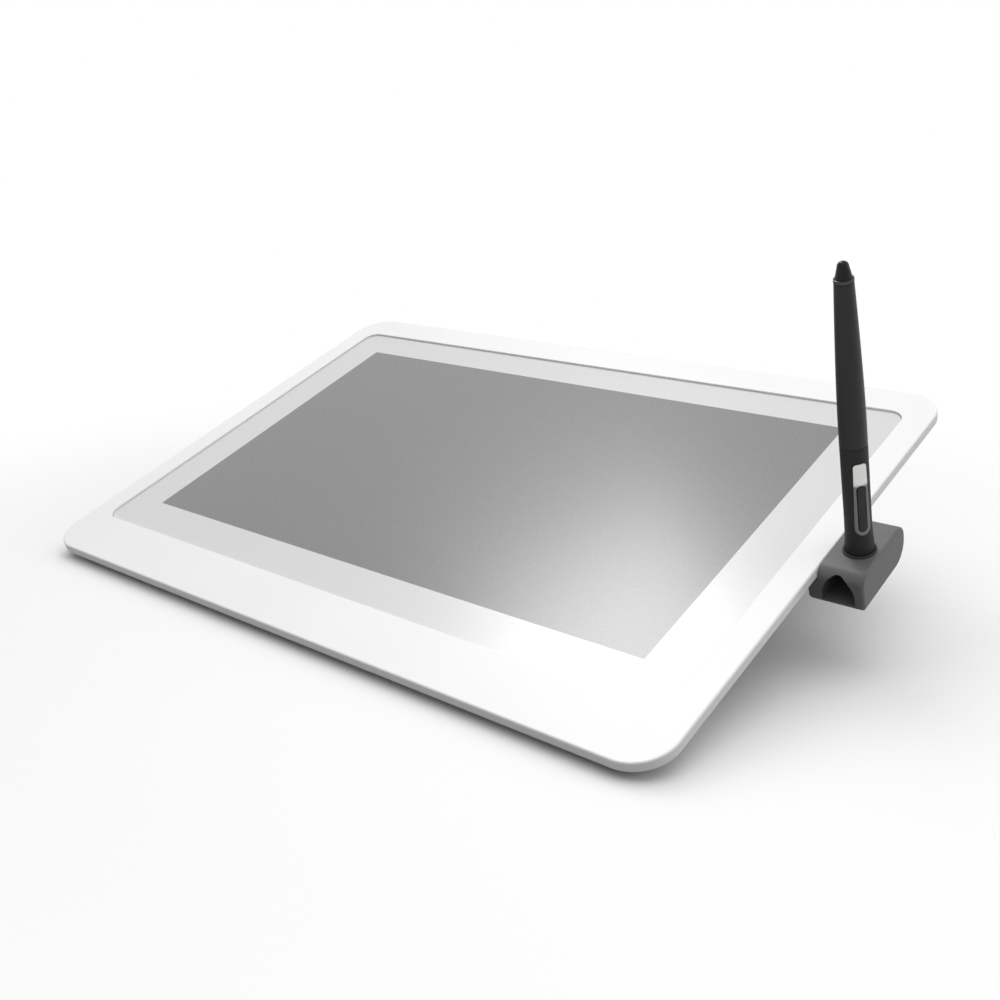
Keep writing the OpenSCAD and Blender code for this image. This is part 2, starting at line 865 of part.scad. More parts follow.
// Metal can over the processor and memory
module board_shield() {
  color("silver") on_tablet() translate([0, board_y, z_board_low - can_h]) difference() {
    translate([-can_w / 2, -can_l / 2, 0]) cube([can_w, can_l, can_h]);
    translate([can_t - can_w / 2, can_t - can_l / 2, can_t])
      cube([can_w - 2 * can_t, can_l - 2 * can_t, can_h]);
  }
}

// Screws that hold the main board on its standoffs
module board_screws() {
  color("silver") on_tablet() for (p = board_spots) {
    translate([p.x, p.y, z_board_low - board_head_h]) cylinder(r = board_head_r, h = board_head_h);
    translate([p.x, p.y, z_board_low - eps])
      cylinder(r = board_screw_r, h = board_t + board_screw_bite);
  }
}

// Long thin board that drives the panel
module panel_board() {
  low = [panel_board_x - panel_board_w / 2, panel_board_y - panel_board_l / 2, z_panel_board - panel_board_t];
  color("darkgreen") on_tablet() box(low, low + [panel_board_w, panel_board_l, panel_board_t]);
}

// Flat cable from the panel board to the main board
module panel_flex() {
  z = z_panel_board - panel_board_t;
  run = [
    [panel_board_y, z],
    [panel_board_y + panel_board_l / 2 + flex_run, z],
    [board_front - flex_run, z_board_low],
    [board_front + flex_lap, z_board_low]
  ];
  color("peru") on_tablet() along_x(flex_x - flex_w / 2, flex_w)
    polygon(concat(run, [for (i = [3:-1:0]) run[i] - [0, flex_t]]));
}

// Flat cable from the antenna board round the chassis to the main board
module digitizer_flex() {
  z = z_under - digit_flex_gap;
  run = [
    [board_front - digit_flex_fall, z],
    [board_front - flex_run, z_board_low],
    [board_front + flex_lap, z_board_low]
  ];
  turn = [[digit_tab_y, z - flex_t], [digit_tab_y, z_shield], [digit_tab_y + flex_t, z_shield]];
  color("peru") on_tablet() along_x(digit_flex_x - digit_flex_w / 2, digit_flex_w)
    polygon(concat(turn, [[digit_tab_y + flex_t, z]], run, [for (i = [2:-1:0]) run[i] - [0, flex_t]]));
}

// Power button in the top edge, with a flange that keeps it in
module power_button() {
  color("whitesmoke") on_tablet() {
    box(
      [button_x - button_w / 2, flange_y - eps, z_button],
      [button_x + button_w / 2, body_d / 2 + button_out, z_button_top]
    );
    box(
      [button_x - button_w / 2 - flange_w, flange_y - flange_t, z_button],
      [button_x + button_w / 2 + flange_w, flange_y, z_button_top]
    );
    box(
      [button_x - stem_w / 2, stem_y, z_button],
      [button_x + stem_w / 2, flange_y - flange_t / 2, z_button_top]
    );
  }
}

// Small board with the button's switch and the status lamp
module button_board() {
  color("darkgreen") on_tablet() {
    box(
      [button_board_low_x, tact_y - button_board_l, z_button_board - button_board_t],
      [button_board_high_x, tact_y, z_button_board]
    );
    box(
      [button_x - tact_w / 2, tact_y - tact_t, z_button_board],
      [button_x + tact_w / 2, tact_y, z_button_board + tact_h]
    );
    translate([button_x, tact_y - cut, z_button_board + tact_h / 2]) rod_y(tact_pin_r, tact_pin_l + cut);
    box(
      [light_x - lamp_w / 2, tact_y - lamp_t, z_button_board],
      [light_x + lamp_w / 2, tact_y, z_button_board + tact_h]
    );
  }
}

// Clear rod that brings the lamp's light to the edge
module status_light() {
  color([0.8, 0.9, 1, 0.6]) on_tablet() translate([light_x, tact_y + light_gap, (z_rim - face_t) / 2])
    rod_y(light_r, body_d / 2 - tact_y - light_gap);
}

// Solid shape of the rear cover
module cover_outer() {
  hull() {
    layer(z_lip, z_lip - z_step, 2 * cover_x, 2 * cover_y, cover_r, 0, $fn = hull_fn);
    layer(z_back + eps, eps, 2 * back_x, back_l, back_r, back_y, $fn = hull_fn);
  }
}

// Hollow of the rear cover, open to the frame
module cover_inner() {
  hull() {
    layer(
      z_lip + cut, z_lip + cut - z_step, 2 * (cover_x - side_in), 2 * cover_y - side_in - front_in,
      cover_r - cover_t, (front_in - side_in) / 2, $fn = hull_fn
    );
    layer(
      z_back + cover_t + eps, eps, 2 * (back_x - side_turn), back_l - side_turn - front_turn,
      back_r - cover_t, back_y + (front_turn - side_turn) / 2, $fn = hull_fn
    );
  }
}

// Walls inside the cover, round the leg pockets, the port and the holder's docks
module cover_walls() {
  for (sx = [-1, 1]) translate([sx * leg_x, 0, 0]) {
    box(
      [-pocket_x - pocket_wall, pocket_front - pocket_wall, z_back],
      [pocket_x + pocket_wall, pocket_rear + pocket_wall, pocket_z + pocket_wall]
    );
    box([-ear_x, hinge_y - ear_r, z_back], [ear_x, hinge_y + ear_r, pocket_z + pocket_wall]);
  }
  box(
    [-port_w / 2 - port_wall, port_front - port_wall, z_back],
    [port_w / 2 + port_wall, cover_y, z_port + port_wall]
  );
  for (m = [0, 1]) mirror([m, 0, 0])
    box(
      [dock_end_x - dock_wall, holder_mid - dock_y - dock_wall, tongue_z - dock_z - dock_wall],
      [cover_x, holder_mid + dock_y + dock_wall, tongue_z + dock_z + dock_wall]
    );
}

// Spaces cut into the cover from outside
module cover_cuts() {
  for (sx = [-1, 1]) translate([sx * leg_x, 0, 0]) {
    box([-pocket_x, pocket_front, z_back - cut], [pocket_x, pocket_rear, pocket_z]);
    translate([0, hinge_y, hinge_z]) rod_x(pin_r + seat_gap, 2 * (pin_x + seat_gap));
  }
  box([-port_w / 2, port_front, z_back - cut], [port_w / 2, cover_y + cut, z_port]);
  box(
    [-socket_w / 2 - slip, port_front - port_wall - cut, z_board_low - socket_h - slip],
    [socket_w / 2 + slip, port_front + cut, z_board_low + slip]
  );
  for (m = [0, 1]) mirror([m, 0, 0])
    box(
      [dock_end_x, holder_mid - dock_y, tongue_z - dock_z],
      [body_w / 2, holder_mid + dock_y, tongue_z + dock_z]
    );
  for (p = screw_spots) translate([p.x, p.y, z_back - cut]) {
    cylinder(r = screw_r + screw_play, h = z_under - z_back + 2 * cut);
    cylinder(r = head_r + head_gap, h = head_drop + cut);
  }
  for (p = foot_spots)
    translate([p.x, p.y, z_back - cut]) cylinder(r = foot_r + seat_gap, h = foot_groove + cut);
  for (i = [0:vent_count - 1])
    translate([(i - (vent_count - 1) / 2) * vent_step, vent_y, z_back - cut])
      linear_extrude(cover_t + 2 * cut) rounded(vent_w, vent_l, vent_w / 2 - eps);
  box(
    [light_x - light_r - lip_notch, cover_y - side_in - cut, z_rim - slip],
    [button_x + button_w / 2 + flange_w + lip_notch, cover_y + cut, z_lip + cut]
  );
}

// Outline of a front strip, grown by a clearance
module strip_outline(grow) {
  rounded(strip_l + 2 * grow, strip_w + 2 * grow, strip_w / 2 + grow - eps);
}

// Where the front strips lie, in the world
module at_strips() {
  for (sx = [-1, 1]) translate([sx * strip_x - mid_x, strip_y - mid_y, 0]) children();
}

// Shell that closes the back, with pockets for the legs, the port and the holder's docks
module rear_cover() {
  color("whitesmoke") difference() {
    on_tablet() difference() {
      union() {
        difference() {
          cover_outer();
          cover_inner();
        }
        intersection() {
          cover_outer();
          cover_walls();
        }
        for (p = screw_spots)
          translate([p.x, p.y, z_back + eps]) cylinder(r = boss_r, h = z_under - z_back - eps);
      }
      cover_cuts();
    }
    at_strips() linear_extrude(strip_out + strip_groove) strip_outline(seat_gap);
  }
}

// Cross-head screws through the cover and the chassis into the frame
module cover_screws() {
  color("dimgray") on_tablet() for (p = screw_spots) translate([p.x, p.y, z_back + head_drop]) {
    difference() {
      translate([0, 0, -head_h]) cylinder(r = head_r, h = head_h);
      for (a = [0, 90]) rotate([0, 0, a])
        translate([-cross_l / 2, -cross_w / 2, -head_h - cut]) cube([cross_l, cross_w, cross_t + cut]);
    }
    translate([0, 0, -head_h / 4])
      cylinder(r = screw_r, h = z_chassis + screw_bite - z_back - head_drop + head_h / 4);
  }
}

// Socket for the cable's plug, under the main board's rear edge
module cable_socket() {
  color("dimgray") on_tablet() difference() {
    box(
      [-socket_w / 2, port_front - socket_l - socket_back, z_board_low - socket_h],
      [socket_w / 2, port_front, z_board_low]
    );
    box(
      [socket_wall - socket_w / 2, port_front - socket_l, z_board_low - socket_h + socket_wall],
      [socket_w / 2 - socket_wall, port_front + cut, z_board_low - socket_wall]
    );
  }
}

// Puts a piece drawn about the hinge into the world, on one side
module on_hinge(side) {
  on_tablet() translate([side * leg_x, hinge_y, hinge_z]) children();
}

// Leg, drawn open: a slab with a round hinge end, a sunk panel and a nail groove
module leg(side) {
  color("whitesmoke") on_hinge(side) difference() {
    along_x(-leg_w / 2, leg_w) {
      circle(leg_t / 2);
      translate([-leg_t / 2, -leg_end]) square([leg_t, leg_end]);
    }
    rod_x(pin_r + seat_gap, leg_w + 2 * cut);
    translate([0, leg_t / 2 - leg_panel_t, -leg_end / 2]) rotate([-90, 0, 0])
      linear_extrude(leg_panel_t + cut) rounded(leg_w - 2 * leg_panel_in, leg_panel_l, leg_panel_r);
    translate([0, leg_t / 2 + nail_r - nail_t, nail_end - leg_end]) rod_x(nail_r, nail_l);
    box(
      [pad_rib_in - seat_gap - leg_w / 2, -pad_rib_t / 2 - seat_gap, -leg_end - cut],
      [leg_w / 2 - pad_rib_in + seat_gap, pad_rib_t / 2 + seat_gap, pad_rib_h + seat_gap - leg_end]
    );
  }
}

// Hinge pin, held in the cover beside the leg
module leg_pin(side) {
  color("silver") on_hinge(side) rod_x(pin_r, 2 * pin_x);
}

// Rubber pad on a leg's end, cut level with the desk, with a rib inside the leg
module leg_pad(side) {
  color("dimgray") on_hinge(side) {
    along_x(-leg_w / 2, leg_w) polygon([
      [-leg_t / 2, -leg_end],
      [leg_t / 2, -leg_end],
      [leg_t / 2, -leg_reach - leg_slant],
      [-leg_t / 2, leg_slant - leg_reach]
    ]);
    box(
      [pad_rib_in - leg_w / 2, -pad_rib_t / 2, -leg_end - eps],
      [leg_w / 2 - pad_rib_in, pad_rib_t / 2, pad_rib_h - leg_end]
    );
  }
}

// Rubber strips under the front slope
module front_strips() {
  color("dimgray") at_strips() linear_extrude(strip_out + strip_groove) strip_outline(0);
}

// Round rubber feet on the flat back, with a bevelled edge
module back_feet() {
  color("dimgray") on_tablet() for (p = foot_spots) translate([p.x, p.y, z_back - foot_out]) {
    cylinder(r1 = foot_r - foot_edge, r2 = foot_r, h = foot_edge);
    translate([0, 0, foot_edge]) cylinder(r = foot_r, h = foot_out + foot_groove - foot_edge);
  }
}

// Outline of the holder from the side: a round heel at the rear
module holder_side() {
  low = -holder_h;
  polygon(concat(
    arc([holder_y + holder_nose_r, -holder_nose_r], holder_nose_r, 180, 90),
    arc([holder_rear - holder_tail_r, -holder_tail_r], holder_tail_r, 90, 0),
    arc([holder_rear - holder_heel_r, low + holder_heel_r], holder_heel_r, 0, -90, 12),
    arc([holder_y + holder_sole_r, low + holder_sole_r], holder_sole_r, -90, -180)
  ));
}

// Outline of the holder from the front: it reaches in under the rim
module holder_front() {
  low = -holder_h;
  polygon(concat(
    [[holder_in_x, holder_under_z], [holder_x, z_rim - rim_clear], [holder_x, 0]],
    arc([holder_far_x - holder_side_r, -holder_side_r], holder_side_r, 90, 0),
    arc([holder_far_x - holder_side_r, low + holder_side_r], holder_side_r, 0, -90),
    [[holder_in_x + holder_foot_c, low], [holder_in_x, low + holder_foot_c]]
  ));
}

// Tongue's outline from above, grown by a clearance
module tongue_outline(grow) {
  translate([tongue_x, holder_mid]) rounded(tongue_l + 2 * grow, tongue_w + 2 * grow, tongue_r + grow);
}

// Outline of the tunnel from the front: two arcs that meet at a blunt point
module tunnel_outline() {
  side = arch_r - tunnel_r;
  translate([tunnel_x, arch_z]) intersection() {
    translate([side, 0]) circle(arch_r);
    translate([-side, 0]) circle(arch_r);
    translate([-tunnel_r, 0]) square([tunnel_w, arch_h + cut]);
  }
  translate([tunnel_x - tunnel_r, z_floor]) square([tunnel_w, arch_z - z_floor]);
}

// Holder: an arched tunnel that is closed behind, and a hole in its roof for the pen
module holder_body() {
  color([0.32, 0.32, 0.33]) on_tablet() difference() {
    intersection() {
      along_x(holder_in_x, holder_far_x - holder_in_x) holder_side();
      along_y(holder_y, holder_l) holder_front();
    }
    along_y(holder_y - cut, tunnel_l + cut) tunnel_outline();
    on_pen() {
      pen_ring(pen_sink - seat_deep, pen_sink + seat_deep, seat_r + seat_gap);
      pen_ring(pen_sink + z_floor, pen_sink, seat_r - seat_step);
    }
    translate([pen_x, tip_y, -holder_h - cut]) cylinder(r = cup_r + seat_gap, h = tunnel_floor + 2 * cut);
    translate([pen_x, tip_y, z_floor - seat_gap]) cylinder(r = cup_rim_r + seat_gap, h = cup_rim_t + 2 * seat_gap);
    translate([0, 0, tongue_z - tongue_t / 2 - seat_gap])
      linear_extrude(tongue_t + 2 * seat_gap) tongue_outline(seat_gap);
  }
}

// Tongue that plugs the holder into a dock, with a hole for the dock's catch
module holder_tongue() {
  color([0.25, 0.25, 0.26]) on_tablet() translate([0, 0, tongue_z - tongue_t / 2]) linear_extrude(tongue_t)
    difference() {
      tongue_outline(0);
      translate([tongue_hole_x, holder_mid]) circle(tongue_hole_r);
    }
}

// Soft ring in the holder's roof, shaped to the pen
module pen_seat() {
  low = pen_sink - seat_deep;
  high = pen_sink + seat_up;
  bore = [for (s = stations(high, low)) [pen_r(s) + slip, s]];
  color([0.2, 0.2, 0.21]) on_tablet() on_pen() rotate_extrude()
    polygon(concat([[seat_r, low], [seat_r, high - seat_edge], [seat_r - seat_edge, high]], bore));
}

// Cup under the holder's floor that takes the pen's point
module nib_cup() {
  top = pen_sink + z_floor + cup_rim_t + cut;
  bore = [for (s = stations(nose_start, top)) [pen_r(s) + cup_gap, s]];
  color([0.25, 0.25, 0.26]) on_tablet() difference() {
    translate([pen_x, tip_y, 0]) {
      translate([0, 0, z_cup]) cylinder(r = cup_r, h = z_floor + cup_rim_t - z_cup);
      translate([0, 0, z_floor]) cylinder(r = cup_rim_r, h = cup_rim_t);
    }
    on_pen() rotate_extrude()
      polygon(concat([[0, -cup_gap], [nose_d / 2 + cup_gap, -cup_gap]], bore, [[0, top]]));
  }
}

// Hard nose of the pen, with the nib's bore
module pen_nose() {
  skin = [for (s = stations(nose_start, nose_l)) [pen_r(s), s]];
  bore = [for (s = stations(nose_l, nose_start)) [max(nib_r + nib_gap, pen_r(s) - grip_wall), s]];
  color([0.2, 0.2, 0.21]) on_tablet() on_pen() rotate_extrude() polygon(concat(skin, bore));
}

// Rubber grip, with a slot for the side switch
module pen_grip() {
  color([0.22, 0.22, 0.23]) on_tablet() on_switch() difference() {
    pen_shell(nose_l, grip_end, 0, -grip_wall);
    switch_prism(bezel_outline(seat_gap));
  }
}

// Rear barrel of the pen
module pen_barrel() {
  color([0.22, 0.22, 0.23]) on_tablet() on_pen() pen_shell(grip_end, tail_s, 0, -barrel_wall);
}

// Trim round the rocker, with a smooth land above it
module pen_switch_bezel() {
  color("silver") on_tablet() on_switch() difference() {
    intersection() {
      pen_shell(switch_start - cut, switch_end + cut, bezel_out, bezel_out - bezel_t);
      switch_prism(bezel_outline(0));
    }
    switch_prism(rocker_outline(slip));
  }
}

// Two-way rocker of the side switch, with a round fulcrum under its middle
module pen_rocker() {
  color([0.2, 0.2, 0.21]) on_tablet() on_switch() {
    difference() {
      intersection() {
        pen_shell(switch_start - cut, switch_end + cut, rocker_out, -rocker_t);
        switch_prism(rocker_outline(0));
      }
      translate([0, rocker_dip - rocker_face - rocker_dip_r, rocker_mid])
        rod_x(rocker_dip_r, rocker_w + 2 * cut);
    }
    translate([0, -rocker_under, rocker_mid]) rod_x(fulcrum_r, fulcrum_w);
  }
}

// Ring at the pen's tail, which guides the eraser
module pen_tail_ring() {
  color("gray") on_tablet() on_pen()
    pen_ring(tail_s, tail_s + tail_ring_t, tail_d / 2 + tail_ring_out, eraser_r + nib_gap);
}

// Eraser button with its stem
module pen_eraser() {
  base = tail_s + eraser_travel + nib_gap;
  dome = [
    for (a = [0:15:90])
      [eraser_tip_r * cos(a), pen_l - eraser_dome + eraser_dome * sin(a)]
  ];
  color([0.12, 0.12, 0.13]) on_tablet() on_pen() rotate_extrude() polygon(concat(
    [
      [0, tail_s - eraser_stem_l],
      [eraser_stem_r, tail_s - eraser_stem_l],
      [eraser_stem_r, base],
      [eraser_r, base],
      [eraser_r, tail_s + tail_ring_t]
    ],
    dome
  ));
}

// Nib, a thin rod that reaches back to the pressure cell
module pen_nib() {
  color("black") on_tablet() on_pen() rotate_extrude()
    polygon([[0, 0], [nib_point_r, 0], [nib_r, nib_taper], [nib_r, nib_l], [0, nib_l]]);
}

// Inner rod that carries the board, with collars that fit the shell
module pen_carrier() {
  color("dimgray") on_tablet() on_switch() difference() {
    union() {
      pen_ring(core_s, core_end, core_r);
      pen_ring(collar_s, collar_s + collar_t, pen_r(collar_s + collar_t) - grip_wall - core_gap);
      pen_ring(core_end - collar_t, core_end, pen_r(core_end) - barrel_wall - core_gap);
    }
    box([-grip_d, -grip_d, core_s - cut], [grip_d, -core_flat, core_s + pen_board_l + cut]);
  }
}

// Circuit board of the pen
module pen_board() {
  color("darkgreen") on_tablet() on_switch()
    box([-pen_board_w / 2, -key_base, core_s], [pen_board_w / 2, -core_flat, core_s + pen_board_l]);
}

// Two key switches and the post that the rocker tips on
module pen_switch_block() {
  color("gray") on_tablet() on_switch() {
    for (k = [-1, 1])
      translate([0, 0, rocker_mid + k * key_s])
        box([-key_w / 2, key_gap - rocker_under, -key_w / 2], [key_w / 2, -key_base, key_w / 2]);
    box(
      [-key_w / 2, fulcrum_r + post_gap - rocker_under, rocker_mid - post_w / 2],
      [key_w / 2, -key_base, rocker_mid + post_w / 2]
    );
  }
}

// Copper winding round the ferrite
module pen_coil() {
  color("peru") on_tablet() on_pen()
    pen_ring(
      ferrite_s, ferrite_s + ferrite_l, pen_r(ferrite_s) - grip_wall - core_gap,
      nib_r + nib_gap + ferrite_wall + seat_gap
    );
}

// Ferrite tube that the nib runs through
module pen_ferrite() {
  color("dimgray") on_tablet() on_pen()
    pen_ring(ferrite_s, ferrite_s + ferrite_l, nib_r + nib_gap + ferrite_wall, nib_r + nib_gap);
}

// Cell that feels the nib's pressure
module pen_pressure_cell() {
  color("gray") on_tablet() on_pen() pen_ring(cell_s, core_s, pen_r(core_s) - grip_wall - core_gap);
}

// Cell that feels the eraser's pressure
module pen_eraser_cell() {
  color("gray") on_tablet() on_pen()
    pen_ring(core_end, core_end + eraser_cell_l, tail_d / 2 - barrel_wall - core_gap);
}

front_frame();
cover_glass();
border_print();
glass_tape();
optical_bond();
lcd_cell();
film_stack();
light_guide();
reflector_sheet();
backlight_bar();
panel_tray();
digitizer_board();
digitizer_shield();
chassis_plate();
main_board();
board_shield();
board_screws();
panel_board();
panel_flex();
digitizer_flex();
power_button();
button_board();
status_light();
rear_cover();
cover_screws();
cable_socket();
leg(-1);  // left_leg
leg(1);  // right_leg
leg_pin(-1);  // left_leg_pin
leg_pin(1);  // right_leg_pin
leg_pad(-1);  // left_leg_pad
leg_pad(1);  // right_leg_pad
front_strips();
back_feet();
holder_body();
holder_tongue();
pen_seat();
nib_cup();
pen_nose();
pen_grip();
pen_barrel();
pen_switch_bezel();
pen_rocker();
pen_tail_ring();
pen_eraser();
pen_nib();
pen_carrier();
pen_board();
pen_switch_block();
pen_coil();
pen_ferrite();
pen_pressure_cell();
pen_eraser_cell();
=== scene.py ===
import bmesh
import bpy
import json
import math
from mathutils import Matrix, Vector


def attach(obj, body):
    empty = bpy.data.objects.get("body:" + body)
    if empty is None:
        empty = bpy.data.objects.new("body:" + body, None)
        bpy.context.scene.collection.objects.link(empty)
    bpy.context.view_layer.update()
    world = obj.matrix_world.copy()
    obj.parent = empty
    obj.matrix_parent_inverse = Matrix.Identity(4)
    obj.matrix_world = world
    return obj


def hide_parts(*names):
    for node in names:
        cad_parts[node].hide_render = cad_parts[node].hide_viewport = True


# Looks of a pen display on folding legs, with its stylus standing in a clip-on holder.
# Every piece is modelled in millimetres along the tablet's or the pen's own axes, then put in its place.
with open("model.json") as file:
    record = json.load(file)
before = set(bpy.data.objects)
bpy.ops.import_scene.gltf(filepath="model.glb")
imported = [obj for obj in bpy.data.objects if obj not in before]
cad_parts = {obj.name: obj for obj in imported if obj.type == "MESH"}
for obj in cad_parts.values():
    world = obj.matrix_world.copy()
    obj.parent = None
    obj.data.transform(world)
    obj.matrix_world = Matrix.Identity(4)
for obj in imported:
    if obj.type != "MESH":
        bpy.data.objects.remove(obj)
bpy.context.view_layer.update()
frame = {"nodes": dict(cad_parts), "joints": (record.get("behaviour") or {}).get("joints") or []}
print("frame loaded:", len(frame["nodes"]), "nodes")

millimetre = 0.001  # m
hair = 0.001        # mm, for telling points and levels apart
cut = 1             # mm that a cutting shape reaches past the face it cuts
cornerSteps = 12    # faces round an upright corner, the same for a slab and for an outline that meets it
creaseAngle = 35    # degrees, past which an edge stays sharp
bothSides = ("left", "right")


# Axes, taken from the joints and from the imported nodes

def jointNamed(name):
    return next(joint for joint in frame["joints"] if joint["name"] == name)


def axesFrom(across, along, outward, origin):
    turn = Matrix((across, along, outward)).transposed().to_4x4()
    return Matrix.Translation(origin) @ turn @ Matrix.Scale(millimetre, 4)


def localPoints(node, axes):
    inward = axes.inverted()
    return [inward @ vertex.co for vertex in frame["nodes"][node].data.vertices]


def corners(points):
    low = Vector([min(point[i] for point in points) for i in range(3)])
    high = Vector([max(point[i] for point in points) for i in range(3)])
    return low, high


def measured(node, axes):
    return corners(localPoints(node, axes))


def spotsOf(node, axes, apart):
    groups = []     # points of one screw or foot lie close together
    for point in localPoints(node, axes):
        near = next((group for group in groups if (group[0].xy - point.xy).length < apart), None)
        if near is None:
            groups.append([point])
        else:
            near.append(point)
    return [corners(group) for group in groups]


def middle(box):
    return (box[0] + box[1]) / 2


deskAxes = Matrix.Scale(millimetre, 4)
across = Vector((1, 0, 0))
slope = -Vector(jointNamed("power_press")["axis"])
facing = across.cross(slope)
tilt = math.atan2(slope.z, slope.y)
leaning = axesFrom(across, slope, facing, Vector())
rimBox = measured("front_frame", leaning)
tabletOrigin = leaning @ Vector((middle(rimBox).x, middle(rimBox).y, rimBox[1].z))
tabletAxes = axesFrom(across, slope, facing, tabletOrigin)

penUp = Vector(jointNamed("pen_lift")["axis"])
penAcross = Vector(jointNamed("side_switch_rock")["axis"])
penBack = penUp.cross(penAcross)
standing = axesFrom(penAcross, penBack, penUp, Vector())
tailSpot = middle(measured("pen_tail_ring", standing))
penPoint = measured("pen_nib", standing)[0].z
penAxes = axesFrom(penAcross, penBack, penUp, standing @ Vector((tailSpot.x, tailSpot.y, penPoint)))
print("tablet tilt:", round(math.degrees(tilt), 2), "degrees")


# Hand tools

def choose(*pieces):
    bpy.ops.object.select_all(action="DESELECT")
    for piece in pieces:
        piece.select_set(True)
    bpy.context.view_layer.objects.active = pieces[0]


def named(name):
    piece = bpy.context.object
    piece.name = name
    bpy.ops.object.transform_apply(location=True, rotation=True, scale=True)
    return piece


def block(name, low, high):
    low, high = Vector(low), Vector(high)
    bpy.ops.object.select_all(action="DESELECT")
    bpy.ops.mesh.primitive_cube_add(size=1, location=(low + high) / 2, scale=high - low)
    return named(name)


def rod(name, start, end, radius, sides=48):
    start, end = Vector(start), Vector(end)
    turn = (end - start).to_track_quat("Z", "Y").to_euler()
    bpy.ops.object.select_all(action="DESELECT")
    bpy.ops.mesh.primitive_cylinder_add(
        vertices=sides, radius=radius, depth=(end - start).length, location=(start + end) / 2, rotation=turn
    )
    return named(name)


def startEdit(piece, kind):
    choose(piece)
    bpy.ops.object.mode_set(mode="EDIT")
    bpy.ops.mesh.select_mode(type=kind)
    bpy.ops.mesh.select_all(action="DESELECT")
    return bmesh.from_edit_mesh(piece.data)


def pickEdges(piece, rule):
    shape = startEdit(piece, "EDGE")
    for edge in shape.edges:
        if rule(edge.verts[0].co, edge.verts[1].co):
            edge.select_set(True)
    bmesh.update_edit_mesh(piece.data)


def pickFaces(piece, rule):
    shape = startEdit(piece, "FACE")
    for face in shape.faces:
        if rule(face.calc_center_median(), face.normal):
            face.select_set(True)
    bmesh.update_edit_mesh(piece.data)


def pickPoints(piece, rule):
    shape = startEdit(piece, "VERT")
    for point in shape.verts:
        if rule(point.co):
            point.select_set(True)
    bmesh.update_edit_mesh(piece.data)


def endEdit():
    bpy.ops.object.mode_set(mode="OBJECT")


def soften(piece, rule, width, steps):
    pickEdges(piece, rule)
    bpy.ops.mesh.bevel(offset=width, segments=steps, profile=0.5, affect="EDGES", clamp_overlap=True)
    endEdit()


def runsAlong(axis):
    others = [i for i, name in enumerate("xyz") if name != axis]
    return lambda a, b: all(abs(a[i] - b[i]) < hair for i in others)


def liesAt(axis, *levels):
    i = "xyz".index(axis)
    return lambda a, b: any(abs(a[i] - level) < hair and abs(b[i] - level) < hair for level in levels)


def slab(name, low, high, corner, steps=cornerSteps):
    piece = block(name, low, high)
    soften(piece, runsAlong("z"), corner, steps)
    return piece


def combine(piece, operation, *tools):
    for tool in tools:
        choose(piece)
        change = piece.modifiers.new("shape", "BOOLEAN")
        change.operation = operation
        change.solver = "EXACT"
        change.object = tool
        bpy.ops.object.modifier_apply(modifier=change.name)
        bpy.data.objects.remove(tool)
    return piece


def joined(name, pieces):
    choose(*pieces)
    bpy.ops.object.join()
    bpy.context.object.name = name
    return bpy.context.object


def copied(piece, name, shift):
    choose(piece)
    bpy.ops.object.duplicate(linked=False)
    twin = bpy.context.object
    twin.location = Vector(shift)
    return named(name)


def turned(name, profile, sides=64):
    bpy.ops.object.select_all(action="DESELECT")
    bpy.ops.mesh.primitive_circle_add(vertices=sides, radius=profile[0][0], location=(0, 0, profile[0][1]))
    piece = named(name)
    bpy.ops.object.mode_set(mode="EDIT")
    bpy.ops.mesh.select_all(action="SELECT")
    for (oldRadius, oldHeight), (radius, height) in zip(profile, profile[1:]):
        grow = radius / oldRadius
        bpy.ops.mesh.extrude_region_move(TRANSFORM_OT_translate={"value": (0, 0, height - oldHeight)})
        bpy.ops.transform.resize(value=(grow, grow, 1), center_override=(0, 0, height))
    bpy.ops.mesh.select_all(action="SELECT")
    bpy.ops.mesh.remove_doubles(threshold=hair)
    bpy.ops.mesh.fill_holes(sides=0)
    bpy.ops.mesh.select_all(action="SELECT")
    bpy.ops.mesh.normals_make_consistent(inside=False)
    endEdit()
    return piece


def arcPoints(radius, height, wide, tall, angles):
    # points of a profile on an arc about one place, by their angles in degrees from level
    turns = [math.radians(angle) for angle in angles]
    return [(radius + wide * math.cos(turn), height + tall * math.sin(turn)) for turn in turns]


def place(piece, axes):
    choose(piece)
    piece.matrix_world = axes
    bpy.ops.object.transform_apply(location=True, rotation=True, scale=True)


def settle(piece, axes, body, slot, *nodes):
    place(piece, axes)
    bpy.ops.object.shade_smooth_by_angle(angle=math.radians(creaseAngle))
    even = piece.modifiers.new("evenShading", "WEIGHTED_NORMAL")    # large flat faces stay flat to the eye
    even.keep_sharp = True
    bpy.ops.object.modifier_apply(modifier=even.name)
    piece.data.materials.clear()
    piece.data.materials.append(finishes[slot])
    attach(piece, body)
    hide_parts(*nodes)
    print("piece made:", piece.name, len(piece.data.polygons), "faces")


# Materials

def hexColour(code):
    parts = [int(code[i:i + 2], 16) / 255 for i in (0, 2, 4)]
    return (*(p / 12.92 if p <= 0.04045 else ((p + 0.055) / 1.055) ** 2.4 for p in parts), 1)


def perMetre(size):
    return 1000 / size      # how many marks of this size in mm lie on a metre


def addNode(tree, kind, inputs=None, **settings):
    node = tree.nodes.new(kind)
    for name, value in settings.items():
        setattr(node, name, value)
    for key, value in (inputs or {}).items():
        shown = [s for i, s in enumerate(node.inputs) if key in (i, s.name) and not s.is_unavailable]
        if isinstance(value, bpy.types.NodeSocket):
            tree.links.new(value, shown[0])
        else:
            shown[0].default_value = value
    return node


def result(node):
    return next(socket for socket in node.outputs if not socket.is_unavailable)


def startMaterial(name):
    material = bpy.data.materials.new(name)
    material.use_nodes = True
    tree = material.node_tree
    tree.nodes.clear()
    return material, tree, addNode(tree, "ShaderNodeTexCoord").outputs["Object"]


